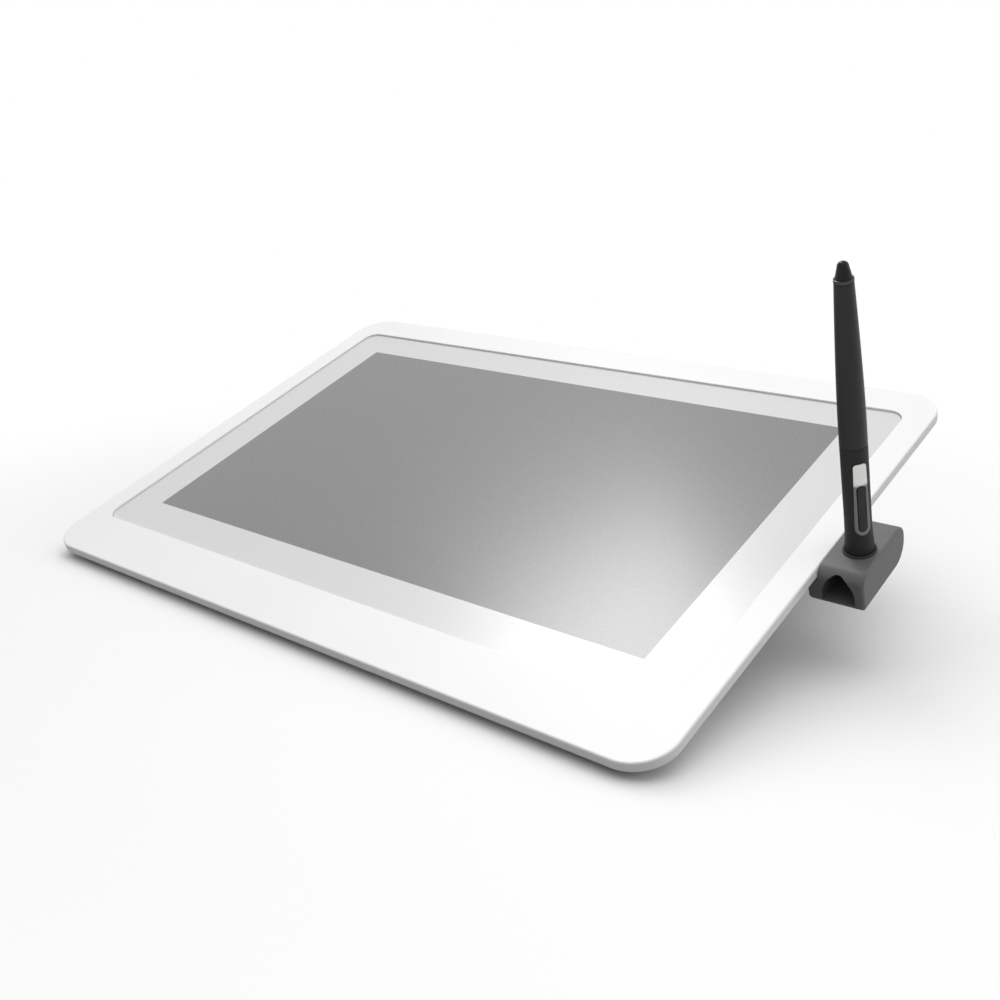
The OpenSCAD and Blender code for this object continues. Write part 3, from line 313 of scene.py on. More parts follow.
def endMaterial(material, surface):
    addNode(material.node_tree, "ShaderNodeOutputMaterial", {"Surface": surface})
    return material


def mottled(name, dark, light, patch, grain, depth, rough, spread, **shader):
    # Two close tones in patches, with a fine grain in the gloss and the relief. Sizes are in mm.
    material, tree, place = startMaterial(name)
    patches = addNode(tree, "ShaderNodeTexNoise", {"Vector": place, "Scale": perMetre(patch), "Detail": 3})
    grains = addNode(tree, "ShaderNodeTexNoise", {"Vector": place, "Scale": perMetre(grain), "Detail": 2})
    tone = addNode(tree, "ShaderNodeMix", {
        "Factor": patches.outputs["Fac"], "A": hexColour(dark), "B": hexColour(light)
    }, data_type="RGBA")
    gloss = addNode(tree, "ShaderNodeMapRange", {
        "Value": grains.outputs["Fac"], "To Min": rough - spread, "To Max": rough + spread
    })
    relief = addNode(tree, "ShaderNodeBump", {
        "Height": grains.outputs["Fac"], "Strength": 1, "Distance": depth * millimetre
    })
    skin = addNode(tree, "ShaderNodeBsdfPrincipled", {
        "Base Color": result(tone), "Roughness": gloss.outputs["Result"],
        "Normal": relief.outputs["Normal"], **shader
    })
    return endMaterial(material, skin.outputs["BSDF"])


def brushed(name, dark, light, streak, width, rough, spread, turn=(0, 0, 0), stretch=(1, 1, 1)):
    # Fine lines left by rolling or brushing, drawn out along one direction of the piece. Sizes are in mm.
    material, tree, place = startMaterial(name)
    along = addNode(tree, "ShaderNodeMapping", {
        "Vector": place, "Rotation": turn, "Scale": stretch
    }, vector_type="TEXTURE")
    lines = addNode(tree, "ShaderNodeTexNoise", {
        "Vector": along.outputs["Vector"], "Scale": perMetre(width), "Detail": 4
    })
    clouds = addNode(tree, "ShaderNodeTexNoise", {"Vector": place, "Scale": perMetre(streak), "Detail": 2})
    tone = addNode(tree, "ShaderNodeMix", {
        "Factor": clouds.outputs["Fac"], "A": hexColour(dark), "B": hexColour(light)
    }, data_type="RGBA")
    gloss = addNode(tree, "ShaderNodeMapRange", {
        "Value": lines.outputs["Fac"], "To Min": rough - spread, "To Max": rough + spread
    })
    relief = addNode(tree, "ShaderNodeBump", {
        "Height": lines.outputs["Fac"], "Strength": 0.4, "Distance": 0.00002
    })
    skin = addNode(tree, "ShaderNodeBsdfPrincipled", {
        "Base Color": result(tone), "Metallic": 1, "Roughness": gloss.outputs["Result"],
        "Normal": relief.outputs["Normal"]
    })
    return endMaterial(material, skin.outputs["BSDF"])


def whiteAbs():
    # ABS moulded in a spark-eroded tool: satin white. The grit of 0.2 mm is drawn at 0.5 mm so that it shows.
    return mottled(
        "mouldedAbsWhite", "EFEFEF", "F5F5F5", patch=70, grain=0.5, depth=0.006, rough=0.47, spread=0.05
    )


def greyAbs():
    # ABS moulded in a coarser tool: a dry, cool light grey that hides finger marks.
    return mottled(
        "mouldedAbsGrey", "D9DBDE", "E2E3E6", patch=55, grain=0.8, depth=0.02, rough=0.56, spread=0.06
    )


def charcoalAbs():
    # ABS moulded with a fine matt texture: dark grey, lighter where light grazes it.
    return mottled(
        "mouldedAbsCharcoal", "5A5A5B", "626263", patch=14, grain=0.4, depth=0.01, rough=0.5, spread=0.06
    )


def softTouchRubber():
    # Thermoplastic rubber moulded over the barrel: nearly black, dry, with no clear highlight.
    shine = {"Specular IOR Level": 0.3}
    return mottled(
        "overmouldedRubber", "1A1A1B", "202021", patch=12, grain=0.35, depth=0.008, rough=0.6, spread=0.06,
        **shine
    )


def penPolycarbonate():
    # Polycarbonate, moulded with a silk finish: as dark as the grip, but with a clearer edge of light.
    shine = {"Specular IOR Level": 0.32}
    return mottled(
        "mouldedPolycarbonate", "1E1E1F", "242425", patch=16, grain=0.3, depth=0.004, rough=0.44, spread=0.05,
        **shine
    )


def footRubber():
    # Moulded silicone rubber: dark grey and dusty looking.
    return mottled(
        "mouldedSilicone", "2E2E30", "3B3B3D", patch=9, grain=0.6, depth=0.02, rough=0.72, spread=0.08
    )


def seatRubber():
    # Softer silicone for the pen's seat, much darker than the holder.
    return mottled(
        "softSilicone", "1E1E1F", "28282A", patch=6, grain=0.4, depth=0.01, rough=0.66, spread=0.06
    )


def blackAcetal():
    # Turned acetal: black with a low wax-like shine.
    shine = {"Specular IOR Level": 0.25}
    return mottled(
        "turnedAcetal", "08080A", "0E0E10", patch=8, grain=0.25, depth=0.003, rough=0.36, spread=0.05, **shine
    )


def darkNylon():
    # Glass-filled nylon: charcoal flecked by its fibres, which are drawn at 0.5 mm to show.
    return mottled(
        "glassFilledNylon", "202022", "303033", patch=3, grain=0.5, depth=0.01, rough=0.5, spread=0.1
    )


def foamTape():
    # Black acrylic foam, die cut: matt with small open cells.
    return mottled(
        "acrylicFoamTape", "1A1A1B", "2A2A2C", patch=4, grain=0.4, depth=0.03, rough=0.85, spread=0.05
    )


def printedInk():
    # Ink screen-printed behind the glass: an even pale grey with faint mesh mottling.
    return mottled(
        "screenPrintedInk", "DFDFE1", "E6E6E8", patch=20, grain=0.4, depth=0.001, rough=0.5, spread=0.04
    )


def diffuserFilm():
    # Matt polyester film: milky white with a fine bead coat.
    return mottled(
        "beadedPolyester", "E6E8EC", "F2F4F6", patch=15, grain=0.3, depth=0.004, rough=0.55, spread=0.08
    )


def sinteredFerrite():
    # Pressed and fired ferrite: blue black with a ceramic bloom.
    return mottled(
        "sinteredFerrite", "24262A", "33363B", patch=2, grain=0.4, depth=0.02, rough=0.62, spread=0.1
    )


def blackenedSteel():
    # Steel screws with a black zinc coat: dark metal, worn brighter in patches.
    return mottled(
        "blackZincSteel", "3A3B3E", "5A5B5F", patch=3, grain=0.3, depth=0.004, rough=0.38, spread=0.08,
        Metallic=1
    )


def satinSilver():
    # Zinc die casting under satin lacquer, one silver all over. Drawn here with a painted highlight on the
    # land above the rocker, mid grey round it, and painted shade darkening the tail.
    landLow, landHigh, tailStart, blend = 0.0585, 0.075, 0.14, 0.001      # m along the pen
    material, tree, place = startMaterial("satinLacqueredZinc")
    onPen = addNode(tree, "ShaderNodeMapping", {
        "Vector": place, "Location": penAxes.to_translation(), "Rotation": penAxes.to_euler()
    }, vector_type="TEXTURE")
    parts = addNode(tree, "ShaderNodeSeparateXYZ", {"Vector": onPen.outputs["Vector"]})
    above, below, tailShade = [
        addNode(tree, "ShaderNodeMapRange", {
            "Value": parts.outputs["Z"], "From Min": level - soft, "From Max": level + soft
        }, interpolation_type="SMOOTHSTEP").outputs["Result"]
        for level, soft in ((landLow, blend), (landHigh, -blend), (tailStart, blend))
    ]
    # painted highlight: the land above the rocker is drawn far brighter than the grey round it
    landHighlight = addNode(tree, "ShaderNodeMath", {0: above, 1: below}, operation="MULTIPLY")
    flakes = addNode(tree, "ShaderNodeTexNoise", {"Vector": place, "Scale": perMetre(0.25), "Detail": 2})
    # painted shade: from the tail ring onward the grey is drawn darker
    greyWithTailShade = addNode(tree, "ShaderNodeMix", {
        "Factor": tailShade, "A": hexColour("6C6C6B"), "B": hexColour("444444")
    }, data_type="RGBA")
    tone = addNode(tree, "ShaderNodeMix", {
        "Factor": landHighlight.outputs["Value"], "A": result(greyWithTailShade), "B": hexColour("D4D5D0")
    }, data_type="RGBA")
    gloss = addNode(tree, "ShaderNodeMapRange", {
        "Value": flakes.outputs["Fac"], "To Min": 0.3, "To Max": 0.38
    })
    skin = addNode(tree, "ShaderNodeBsdfPrincipled", {
        "Base Color": result(tone), "Metallic": 0.85, "Roughness": gloss.outputs["Result"]
    })
    return endMaterial(material, skin.outputs["BSDF"])


def rolledSteel():
    # Cold-rolled steel sheet: cool grey with lines along the roll.
    return brushed(
        "coldRolledSteel", "8E9195", "A9ACB0", streak=40, width=0.6, rough=0.34, spread=0.1,
        turn=(tilt, 0, 0), stretch=(20, 1, 1)
    )


def brushedAluminium():
    # Aluminium plate, brushed from side to side.
    return brushed(
        "brushedAluminium", "B9BBBE", "CDCFD2", streak=60, width=0.5, rough=0.36, spread=0.1,
        turn=(tilt, 0, 0), stretch=(30, 1, 1)
    )


def groundSteel():
    # Centreless-ground steel: bright, with fine rings round the pin.
    return brushed(
        "groundSteel", "A6A8AB", "C4C6C9", streak=12, width=0.3, rough=0.2, spread=0.06,
        turn=(0, 0, 0), stretch=(1, 12, 12)
    )


def etchedGlass():
    # Chemically etched glass: lamps spread into a broad soft glow. It isn't see-through here: the pale print
    # and the unlit panel under it are drawn as two tones of the glass.
    edge = 0.00015      # m, softness of the print's edge
    bondLow, bondHigh = measured("optical_bond", tabletAxes)
    lit = middle((bondLow, bondHigh))
    litHalf = (bondHigh - bondLow) / 2 * millimetre
    material, tree, place = startMaterial("etchedCoverGlass")
    onScreen = addNode(tree, "ShaderNodeMapping", {
        "Vector": place, "Rotation": (tilt, 0, 0),
        "Location": tabletAxes @ Vector((lit.x, lit.y, glassHigh.z))
    }, vector_type="TEXTURE")
    parts = addNode(tree, "ShaderNodeSeparateXYZ", {"Vector": onScreen.outputs["Vector"]})
    inside = []
    for axis, half in (("X", litHalf.x), ("Y", litHalf.y)):
        far = addNode(tree, "ShaderNodeMath", {0: parts.outputs[axis]}, operation="ABSOLUTE")
        inside.append(addNode(tree, "ShaderNodeMapRange", {
            "Value": far.outputs["Value"], "From Min": half + edge, "From Max": half - edge
        }, interpolation_type="SMOOTHSTEP"))
    window = addNode(tree, "ShaderNodeMath", {
        0: inside[0].outputs["Result"], 1: inside[1].outputs["Result"]
    }, operation="MULTIPLY")
    clouds = addNode(tree, "ShaderNodeTexNoise", {"Vector": place, "Scale": perMetre(90), "Detail": 2})
    panel = addNode(tree, "ShaderNodeMix", {
        "Factor": clouds.outputs["Fac"], "A": hexColour("7E7E7E"), "B": hexColour("828282")
    }, data_type="RGBA")
    border = addNode(tree, "ShaderNodeMix", {
        "Factor": clouds.outputs["Fac"], "A": hexColour("D6D6D6"), "B": hexColour("DADADA")
    }, data_type="RGBA")
    tone = addNode(tree, "ShaderNodeMix", {
        "Factor": window.outputs["Value"], "A": result(border), "B": result(panel)
    }, data_type="RGBA")
    pits = addNode(tree, "ShaderNodeTexNoise", {"Vector": place, "Scale": perMetre(0.4), "Detail": 2})
    gloss = addNode(tree, "ShaderNodeMapRange", {
        "Value": pits.outputs["Fac"], "To Min": 0.25, "To Max": 0.29
    })
    relief = addNode(tree, "ShaderNodeBump", {
        "Height": pits.outputs["Fac"], "Strength": 0.3, "Distance": 0.000002
    })
    skin = addNode(tree, "ShaderNodeBsdfPrincipled", {
        "Base Color": result(tone), "Roughness": gloss.outputs["Result"],
        "Normal": relief.outputs["Normal"], "IOR": 1.5
    })
    return endMaterial(material, skin.outputs["BSDF"])


def clearPlastic(name, tint, rough, haze):
    # Clear moulded or cured plastic, with a faint cloud so that its body shows.
    material, tree, place = startMaterial(name)
    clouds = addNode(tree, "ShaderNodeTexNoise", {"Vector": place, "Scale": perMetre(haze), "Detail": 2})
    gloss = addNode(tree, "ShaderNodeMapRange", {
        "Value": clouds.outputs["Fac"], "To Min": rough / 2, "To Max": rough
    })
    skin = addNode(tree, "ShaderNodeBsdfPrincipled", {
        "Base Color": hexColour(tint), "Roughness": gloss.outputs["Result"],
        "Transmission Weight": 0.9, "IOR": 1.49
    })
    return endMaterial(material, skin.outputs["BSDF"])


def panelGlass():
    # Two glass sheets with polarisers: dark grey, with the cell's fine grid drawn at 1 mm so that it shows.
    material, tree, place = startMaterial("polarisedCellGlass")
    flat = addNode(tree, "ShaderNodeMapping", {
        "Vector": place, "Rotation": (tilt, 0, 0)
    }, vector_type="TEXTURE")
    grid = addNode(tree, "ShaderNodeTexBrick", {
        "Vector": flat.outputs["Vector"], "Color1": hexColour("4A4C4F"), "Color2": hexColour("4E5053"),
        "Mortar": hexColour("3C3D40"), "Scale": perMetre(1), "Brick Width": 1, "Row Height": 1,
        "Mortar Size": 0.08
    }, offset=0)
    skin = addNode(tree, "ShaderNodeBsdfPrincipled", {"Base Color": grid.outputs["Color"], "Roughness": 0.3})
    return endMaterial(material, skin.outputs["BSDF"])


def circuitBoard():
    # Glass-epoxy board under green solder mask: copper runs show as lighter lines, with gold pads on them.
    material, tree, place = startMaterial("solderMaskedBoard")
    flat = addNode(tree, "ShaderNodeMapping", {
        "Vector": place, "Rotation": (tilt, 0, 0)
    }, vector_type="TEXTURE")
    runs = addNode(tree, "ShaderNodeTexBrick", {
        "Vector": flat.outputs["Vector"], "Color1": hexColour("1F5A39"), "Color2": hexColour("245F3E"),
        "Mortar": hexColour("3C8257"), "Scale": perMetre(2.5), "Brick Width": 3.2, "Row Height": 0.5,
        "Mortar Size": 0.08
    }, offset=0.37)
    dots = addNode(tree, "ShaderNodeTexVoronoi", {"Vector": flat.outputs["Vector"], "Scale": perMetre(3.5)})
    pads = addNode(tree, "ShaderNodeMapRange", {
        "Value": dots.outputs["Distance"], "From Min": 0.2, "From Max": 0.16
    })
    tone = addNode(tree, "ShaderNodeMix", {
        "Factor": pads.outputs["Result"], "A": runs.outputs["Color"], "B": hexColour("D2AE5C")
    }, data_type="RGBA")
    relief = addNode(tree, "ShaderNodeBump", {
        "Height": runs.outputs["Fac"], "Strength": 0.5, "Distance": 0.00004
    })
    skin = addNode(tree, "ShaderNodeBsdfPrincipled", {
        "Base Color": result(tone), "Metallic": pads.outputs["Result"], "Roughness": 0.34,
        "Normal": relief.outputs["Normal"]
    })
    return endMaterial(material, skin.outputs["BSDF"])


def polyimideFlex():
    # Amber polyimide with etched copper lines under it, which are drawn 6.3 mm apart so that they show.
    material, tree, place = startMaterial("polyimideFlex")
    lines = addNode(tree, "ShaderNodeTexWave", {
        "Vector": place, "Scale": perMetre(1) / 20, "Distortion": 0
    }, bands_direction="X")
    tone = addNode(tree, "ShaderNodeMix", {
        "Factor": lines.outputs["Fac"], "A": hexColour("8A5A22"), "B": hexColour("B9823A")
    }, data_type="RGBA")
    skin = addNode(tree, "ShaderNodeBsdfPrincipled", {
        "Base Color": result(tone), "Roughness": 0.32, "Coat Weight": 0.3
    })
    return endMaterial(material, skin.outputs["BSDF"])


def woundCopper():
    # Enamelled copper wire in close turns along the pen, which are drawn 1.9 mm apart so that they show.
    material, tree, place = startMaterial("enamelledCopperWire")
    along = addNode(tree, "ShaderNodeMapping", {
        "Vector": place, "Rotation": penAxes.to_euler()
    }, vector_type="TEXTURE")
    turns = addNode(tree, "ShaderNodeTexWave", {
        "Vector": along.outputs["Vector"], "Scale": perMetre(0.3) / 20, "Distortion": 0
    }, bands_direction="Z")
    tone = addNode(tree, "ShaderNodeMix", {
        "Factor": turns.outputs["Fac"], "A": hexColour("5E2E14"), "B": hexColour("C07A44")
    }, data_type="RGBA")
    relief = addNode(tree, "ShaderNodeBump", {
        "Height": turns.outputs["Fac"], "Strength": 1, "Distance": 0.0001
    })
    skin = addNode(tree, "ShaderNodeBsdfPrincipled", {
        "Base Color": result(tone), "Metallic": 1, "Roughness": 0.3,
        "Normal": relief.outputs["Normal"]
    })
    return endMaterial(material, skin.outputs["BSDF"])


glassLow, glassHigh = measured("cover_glass", tabletAxes)
finishes = {
    "frame_plastic": whiteAbs(), "cover_plastic": greyAbs(), "cover_glass": etchedGlass(),
    "border_ink": printedInk(), "adhesive": foamTape(), "panel_glass": panelGlass(),
    "optical_resin": clearPlastic("curedOpticalResin", "F4F6F7", rough=0.1, haze=8),
    "optical_film": diffuserFilm(),
    "circuit_board": circuitBoard(), "flex_film": polyimideFlex(), "sheet_steel": rolledSteel(),
    "sheet_aluminium": brushedAluminium(), "screw_steel": blackenedSteel(), "pin_steel": groundSteel(),
    "light_pipe": clearPlastic("mouldedAcrylic", "EAF2F6", rough=0.2, haze=2), "socket_plastic": darkNylon(),
    "foot_rubber": footRubber(), "holder_plastic": charcoalAbs(), "seat_rubber": seatRubber(),
    "pen_rubber": softTouchRubber(), "pen_plastic": penPolycarbonate(), "pen_silver": satinSilver(),
    "eraser_plastic": blackAcetal(), "nib_plastic": blackAcetal(), "pen_core": darkNylon(),
    "copper_wire": woundCopper(), "ferrite": sinteredFerrite(),
}
for node in frame["nodes"].values():
    slotName = node.data.materials[0].name
    node.data.materials[0] = finishes[slotName]
print("materials made:", len(finishes))


# Front frame: rim, palm strip and the ledge under the glass

rim = {
    "corner": 20, "edge": 0.9, "underEdge": 0.3, "face": 2.2, "wall": 3, "ledge": 2.2,
    "glassGap": 0.3, "glassCorner": 8, "lipEdge": 0.25, "recessWall": 1.6,
    "panelGap": 0.5, "panelCorner": 2, "boss": 3.4, "bore": 1.3, "bite": 3.3,
    "buttonGap": 0.3, "lightGap": 0.05,
}
rimLow, rimHigh = measured("front_frame", tabletAxes)
tapeLow = measured("glass_tape", tabletAxes)[0]
trayLow, trayHigh = measured("panel_tray", tabletAxes)
chassisLow, chassisHigh = measured("chassis_plate", tabletAxes)
buttonLow, buttonHigh = measured("power_button", tabletAxes)
lightLow, lightHigh = measured("status_light", tabletAxes)
screwSpots = [middle(spot) for spot in spotsOf("cover_screws", tabletAxes, apart=10)]
rimUnder = tapeLow.z - rim["ledge"]
button = {"width": 12, "flangeThick": 1.4, "stem": 4, "edge": 0.5}
buttonMiddle = (buttonLow.x + buttonHigh.x) / 2
buttonEnds = (buttonMiddle - button["width"] / 2, buttonMiddle + button["width"] / 2)


def grown(point, amount):
    return Vector((point.x + amount, point.y + amount))


def atScrews(name, low, high, radius, sides):
    return joined(name, [rod(name, (*spot.xy, low), (*spot.xy, high), radius, sides) for spot in screwSpots])


def makeFrontFrame():
    piece = slab("frontFrame", (*rimLow.xy, rimUnder), (*rimHigh.xy, 0), rim["corner"], steps=20)
    soften(piece, liesAt("z", 0), rim["edge"], steps=5)
    soften(piece, liesAt("z", rimUnder), rim["underEdge"], steps=2)
    gap, wall, corner = rim["glassGap"], rim["recessWall"], rim["glassCorner"] + rim["glassGap"]
    low, high = grown(glassLow, -gap), grown(glassHigh, gap)
    combine(piece, "DIFFERENCE", slab("recess", (*low, tapeLow.z), (*high, cut), corner))

    def onLip(a, b):
        return liesAt("z", 0)(a, b) and all(
            abs(p.x) < high.x + hair and low.y - hair < p.y < high.y + hair for p in (a, b)
        )

    soften(piece, onLip, rim["lipEdge"], steps=2)
    hollow = slab(
        "hollow", (*grown(rimLow, rim["wall"]), rimUnder - cut),
        (*grown(rimHigh, -rim["wall"]), -rim["face"]),
        rim["corner"] - rim["wall"]
    )
    kept = slab(
        "kept", (*grown(low, -wall), rimUnder - 2 * cut), (*grown(high, wall), cut), corner + wall
    )
    window = slab(
        "window", (*grown(trayLow, -rim["panelGap"]), rimUnder - cut),
        (*grown(trayHigh, rim["panelGap"]), cut),
        rim["panelCorner"], steps=6
    )
    combine(hollow, "DIFFERENCE", kept)
    bosses = atScrews("bosses", chassisHigh.z, rimUnder + rim["ledge"] / 2, rim["boss"], sides=32)
    bores = atScrews("bores", chassisHigh.z - cut, chassisHigh.z + rim["bite"], rim["bore"], sides=24)
    notch = block(
        "notch", (buttonEnds[0] - rim["buttonGap"], rimHigh.y - rim["wall"] - cut, rimUnder - cut),
        (buttonEnds[1] + rim["buttonGap"], rimHigh.y + cut, -rim["face"])
    )
    light = middle((lightLow, lightHigh))
    lightBore = rod(
        "lightBore", (light.x, rimHigh.y - rim["wall"] - cut, light.z), (light.x, rimHigh.y + cut, light.z),
        (lightHigh.x - lightLow.x) / 2 + rim["lightGap"], sides=24
    )
    combine(piece, "DIFFERENCE", hollow, window)
    combine(piece, "UNION", bosses)
    combine(piece, "DIFFERENCE", bores, notch, lightBore)
    return piece


settle(makeFrontFrame(), tabletAxes, "tablet", "frame_plastic", "front_frame")


# Cover glass, with its ground edge

glass = {"corner": 8, "edge": 0.25}


def makeCoverGlass():
    piece = slab("coverGlass", glassLow, glassHigh, glass["corner"])
    soften(piece, liesAt("z", glassHigh.z, glassLow.z), glass["edge"], steps=2)
    return piece


settle(makeCoverGlass(), tabletAxes, "tablet", "cover_glass", "cover_glass")


# Power button in the top edge

def makePowerButton():
    flangeRear = rimHigh.y - rim["wall"] - rim["buttonGap"]
    flangeFront = flangeRear - button["flangeThick"]
    piece = block(
        "powerButton", (buttonEnds[0], flangeRear - cut / 2, buttonLow.z),
        (buttonEnds[1], buttonHigh.y, buttonHigh.z)
    )
    soften(piece, runsAlong("y"), button["edge"], steps=4)
    soften(piece, liesAt("y", buttonHigh.y), button["edge"] / 2, steps=3)
    flange = block(
        "flange", (buttonLow.x, flangeFront, buttonLow.z), (buttonHigh.x, flangeRear, buttonHigh.z)
    )
    stem = block(
        "stem", (buttonMiddle - button["stem"] / 2, buttonLow.y, buttonLow.z),
        (buttonMiddle + button["stem"] / 2, flangeFront + cut / 2, buttonHigh.z)
    )
    return combine(piece, "UNION", flange, stem)


settle(makePowerButton(), tabletAxes, "button", "frame_plastic", "power_button")


# Rear cover: a tub with sloped sides, closed by a flat back

shell = {
    "corner": 16.5, "backCorner": 12, "step": 2.5, "run": 15, "wall": 2.2, "stepEdge": 0.8, "backEdge": 2,
    "rimEdge": 0.4, "boss": 4.6, "bore": 1.6, "headBore": 3, "headDrop": 5, "seatGap": 0.05,
    "pocketSide": 0.6, "pocketEnd": 1, "pocketRear": 0.3, "pocketDeep": 0.5, "pocketWall": 1.6,
    "ear": 5, "portWidth": 52, "portWall": 1.6, "portRoof": 0.8, "socketGap": 0.3,
    "dockGap": 0.25, "dockWall": 1.6, "lipNotch": 2, "footGroove": 0.8,
}
vents = {"count": 14, "pitch": 7, "width": 2.2, "length": 16, "place": 31.4}
shellLow, shellHigh = measured("rear_cover", tabletAxes)
socketLow, socketHigh = measured("cable_socket", tabletAxes)
tongueLow, tongueHigh = measured("holder_tongue", tabletAxes)
legBox = {side: measured(side + "_leg", tabletAxes) for side in bothSides}
padBox = {side: measured(side + "_leg_pad", tabletAxes) for side in bothSides}
pinBox = {side: measured(side + "_leg_pin", tabletAxes) for side in bothSides}
footSpots = spotsOf("back_feet", tabletAxes, apart=20)
stripSpots = spotsOf("front_strips", deskAxes, apart=120)
stepLevel = rimUnder - shell["step"]
drop = stepLevel - shellLow.z
frontRun = drop / math.tan(tilt)


def outline(name, low, high, level, corner):
    bpy.ops.object.select_all(action="DESELECT")
    middleSpot = ((low.x + high.x) / 2, (low.y + high.y) / 2, level)
    bpy.ops.mesh.primitive_plane_add(size=1, location=middleSpot)
    bpy.ops.transform.resize(value=(high.x - low.x, high.y - low.y, 1))
    piece = named(name)
    pickPoints(piece, lambda point: True)
    bpy.ops.mesh.bevel(offset=corner, segments=cornerSteps, profile=0.5, affect="VERTICES")
    bpy.ops.mesh.select_all(action="SELECT")
    bpy.ops.mesh.delete(type="ONLY_FACE")
    endEdit()
    return piece


def tub(name, low, high, top, corner, backLow, backHigh, back, backCorner):
    upper = slab(name, (*low, stepLevel), (*high, top), corner)
    pickFaces(upper, lambda centre, normal: normal.z < -0.9)
    bpy.ops.mesh.delete(type="ONLY_FACE")
    endEdit()
    piece = joined(name, [upper, outline("back", backLow, backHigh, back, backCorner)])
    pickEdges(piece, liesAt("z", stepLevel, back))
    bpy.ops.mesh.bridge_edge_loops()
    endEdit()
    pickEdges(piece, liesAt("z", back))
    bpy.ops.mesh.edge_face_add()
    bpy.ops.mesh.select_all(action="SELECT")
    bpy.ops.mesh.normals_make_consistent(inside=False)
    endEdit()
    return piece


def shellOutside():
    low, high = shellLow.xy, shellHigh.xy
    backLow = Vector((low.x + shell["run"], low.y + frontRun))
    backHigh = Vector((high.x - shell["run"], high.y - shell["run"]))
    piece = tub(
        "rearCover", low, high, shellHigh.z, shell["corner"],
        backLow, backHigh, shellLow.z, shell["backCorner"]
    )
    soften(piece, liesAt("z", shellLow.z), shell["backEdge"], steps=5)
    soften(piece, liesAt("z", stepLevel), shell["stepEdge"], steps=3)
    return piece


def pocketOf(side):
    legLow, legHigh = legBox[side]
    hinge = middle(pinBox[side])
    reach = hinge.z - padBox[side][0].z + shell["pocketEnd"]
    low = Vector((legLow.x - shell["pocketSide"], hinge.y - reach, shellLow.z))
    high = legHigh + Vector((shell["pocketSide"], shell["pocketRear"], shell["pocketDeep"]))
    return low, high


def portBox():
    half = shell["portWidth"] / 2
    low = Vector((-half, socketHigh.y, shellLow.z))
    high = Vector((half, shellHigh.y, socketHigh.z + shell["portRoof"]))
    return low, high


def shellInside():
    slant = math.atan2(drop, shell["run"])
    wall = shell["wall"]
    sideIn, frontIn = wall / math.sin(slant), wall / math.sin(tilt)
    sideTurn, frontTurn = wall * math.tan(slant / 2), wall * math.tan(tilt / 2)
    low = shellLow.xy + Vector((sideIn, frontIn))
    high = shellHigh.xy - Vector((sideIn, sideIn))
    backLow = shellLow.xy + Vector((shell["run"] + sideTurn, frontRun + frontTurn))
    backHigh = shellHigh.xy - Vector((shell["run"] + sideTurn, shell["run"] + sideTurn))
    room = tub(
        "room", low, high, shellHigh.z + cut, shell["corner"] - wall, backLow, backHigh, shellLow.z + wall,
        shell["backCorner"] - wall
    )
    wide = Vector((1, 1, 1)) * shell["pocketWall"]
    floor = Vector((0, 0, cut))
    for side in bothSides:
        low, high = pocketOf(side)
        hinge = middle(pinBox[side])
        combine(room, "DIFFERENCE", block("wall", low - wide - floor, high + wide))
        combine(room, "DIFFERENCE", block(
            "ear", (pinBox[side][0].x - wide.x, hinge.y - shell["ear"], shellLow.z - cut),
            (pinBox[side][1].x + wide.x, hinge.y + shell["ear"], high.z + wide.z)
        ))
    low, high = portBox()
    combine(room, "DIFFERENCE", block("wall", low - wide - floor, high + wide + Vector((0, cut, 0))))
    for low, high in docks():
        reach = Vector((1, 1, 1)) * shell["dockWall"]
        combine(room, "DIFFERENCE", block("wall", low - reach, high + reach))
    combine(room, "DIFFERENCE", atScrews("bosses", shellLow.z - cut, chassisLow.z, shell["boss"], sides=32))
    return room


def docks():
    gap = Vector((1, 1, 1)) * shell["dockGap"]
    low = tongueLow - gap
    high = Vector((rimHigh.x, tongueHigh.y, tongueHigh.z)) + gap
    return [(low, high), (Vector((-high.x, low.y, low.z)), Vector((-low.x, high.y, high.z)))]


def stripShape(name, spot, grow, top):
    low, high = grown(spot[0], -grow), grown(spot[1], grow)
    return slab(name, (*low, spot[0].z - top), (*high, spot[1].z), (high.y - low.y) / 2 - hair, steps=16)


def shellCuts():
    tools = []
    for side in bothSides:
        low, high = pocketOf(side)
        hinge = middle(pinBox[side])
        tools.append(block("pocket", low - Vector((0, 0, cut)), high))
        tools.append(rod(
            "pinBore", (pinBox[side][0].x - shell["seatGap"], hinge.y, hinge.z),
            (pinBox[side][1].x + shell["seatGap"], hinge.y, hinge.z),
            (pinBox[side][1].z - pinBox[side][0].z) / 2 + shell["seatGap"], sides=32
        ))
    low, high = portBox()
    tools.append(block("port", low - Vector((0, 0, cut)), high + Vector((0, cut, 0))))
    gap = shell["socketGap"]
    tools.append(block(
        "socketHole", (socketLow.x - gap, socketHigh.y - shell["portWall"] - cut, socketLow.z - gap),
        (socketHigh.x + gap, socketHigh.y + cut, socketHigh.z + gap)
    ))
    tools += [block("dock", low, high) for low, high in docks()]
    headTop = shellLow.z + shell["headDrop"]
    tools.append(atScrews("bores", shellLow.z, chassisLow.z + cut, shell["bore"], sides=24))
    tools.append(atScrews("heads", shellLow.z - cut, headTop, shell["headBore"], sides=32))
    tools.append(joined("feet", [
        rod(
            "foot", (*middle(spot).xy, shellLow.z - cut),
            (*middle(spot).xy, shellLow.z + shell["footGroove"]),
            (spot[1].x - spot[0].x) / 2 + shell["seatGap"]
        )
        for spot in footSpots
    ]))
    tools.append(joined("vents", [ventSlot(i) for i in range(vents["count"])]))
    strips = joined("strips", [stripShape("strip", spot, shell["seatGap"], cut) for spot in stripSpots])
    place(strips, tabletAxes.inverted() @ deskAxes)
    tools.append(strips)
    tools.append(block(
        "lipNotch", (lightLow.x - shell["lipNotch"], shellHigh.y - shell["wall"] - 2 * cut, rimUnder - gap),
        (buttonHigh.x + shell["lipNotch"], shellHigh.y + cut, shellHigh.z + cut)
    ))
    return tools


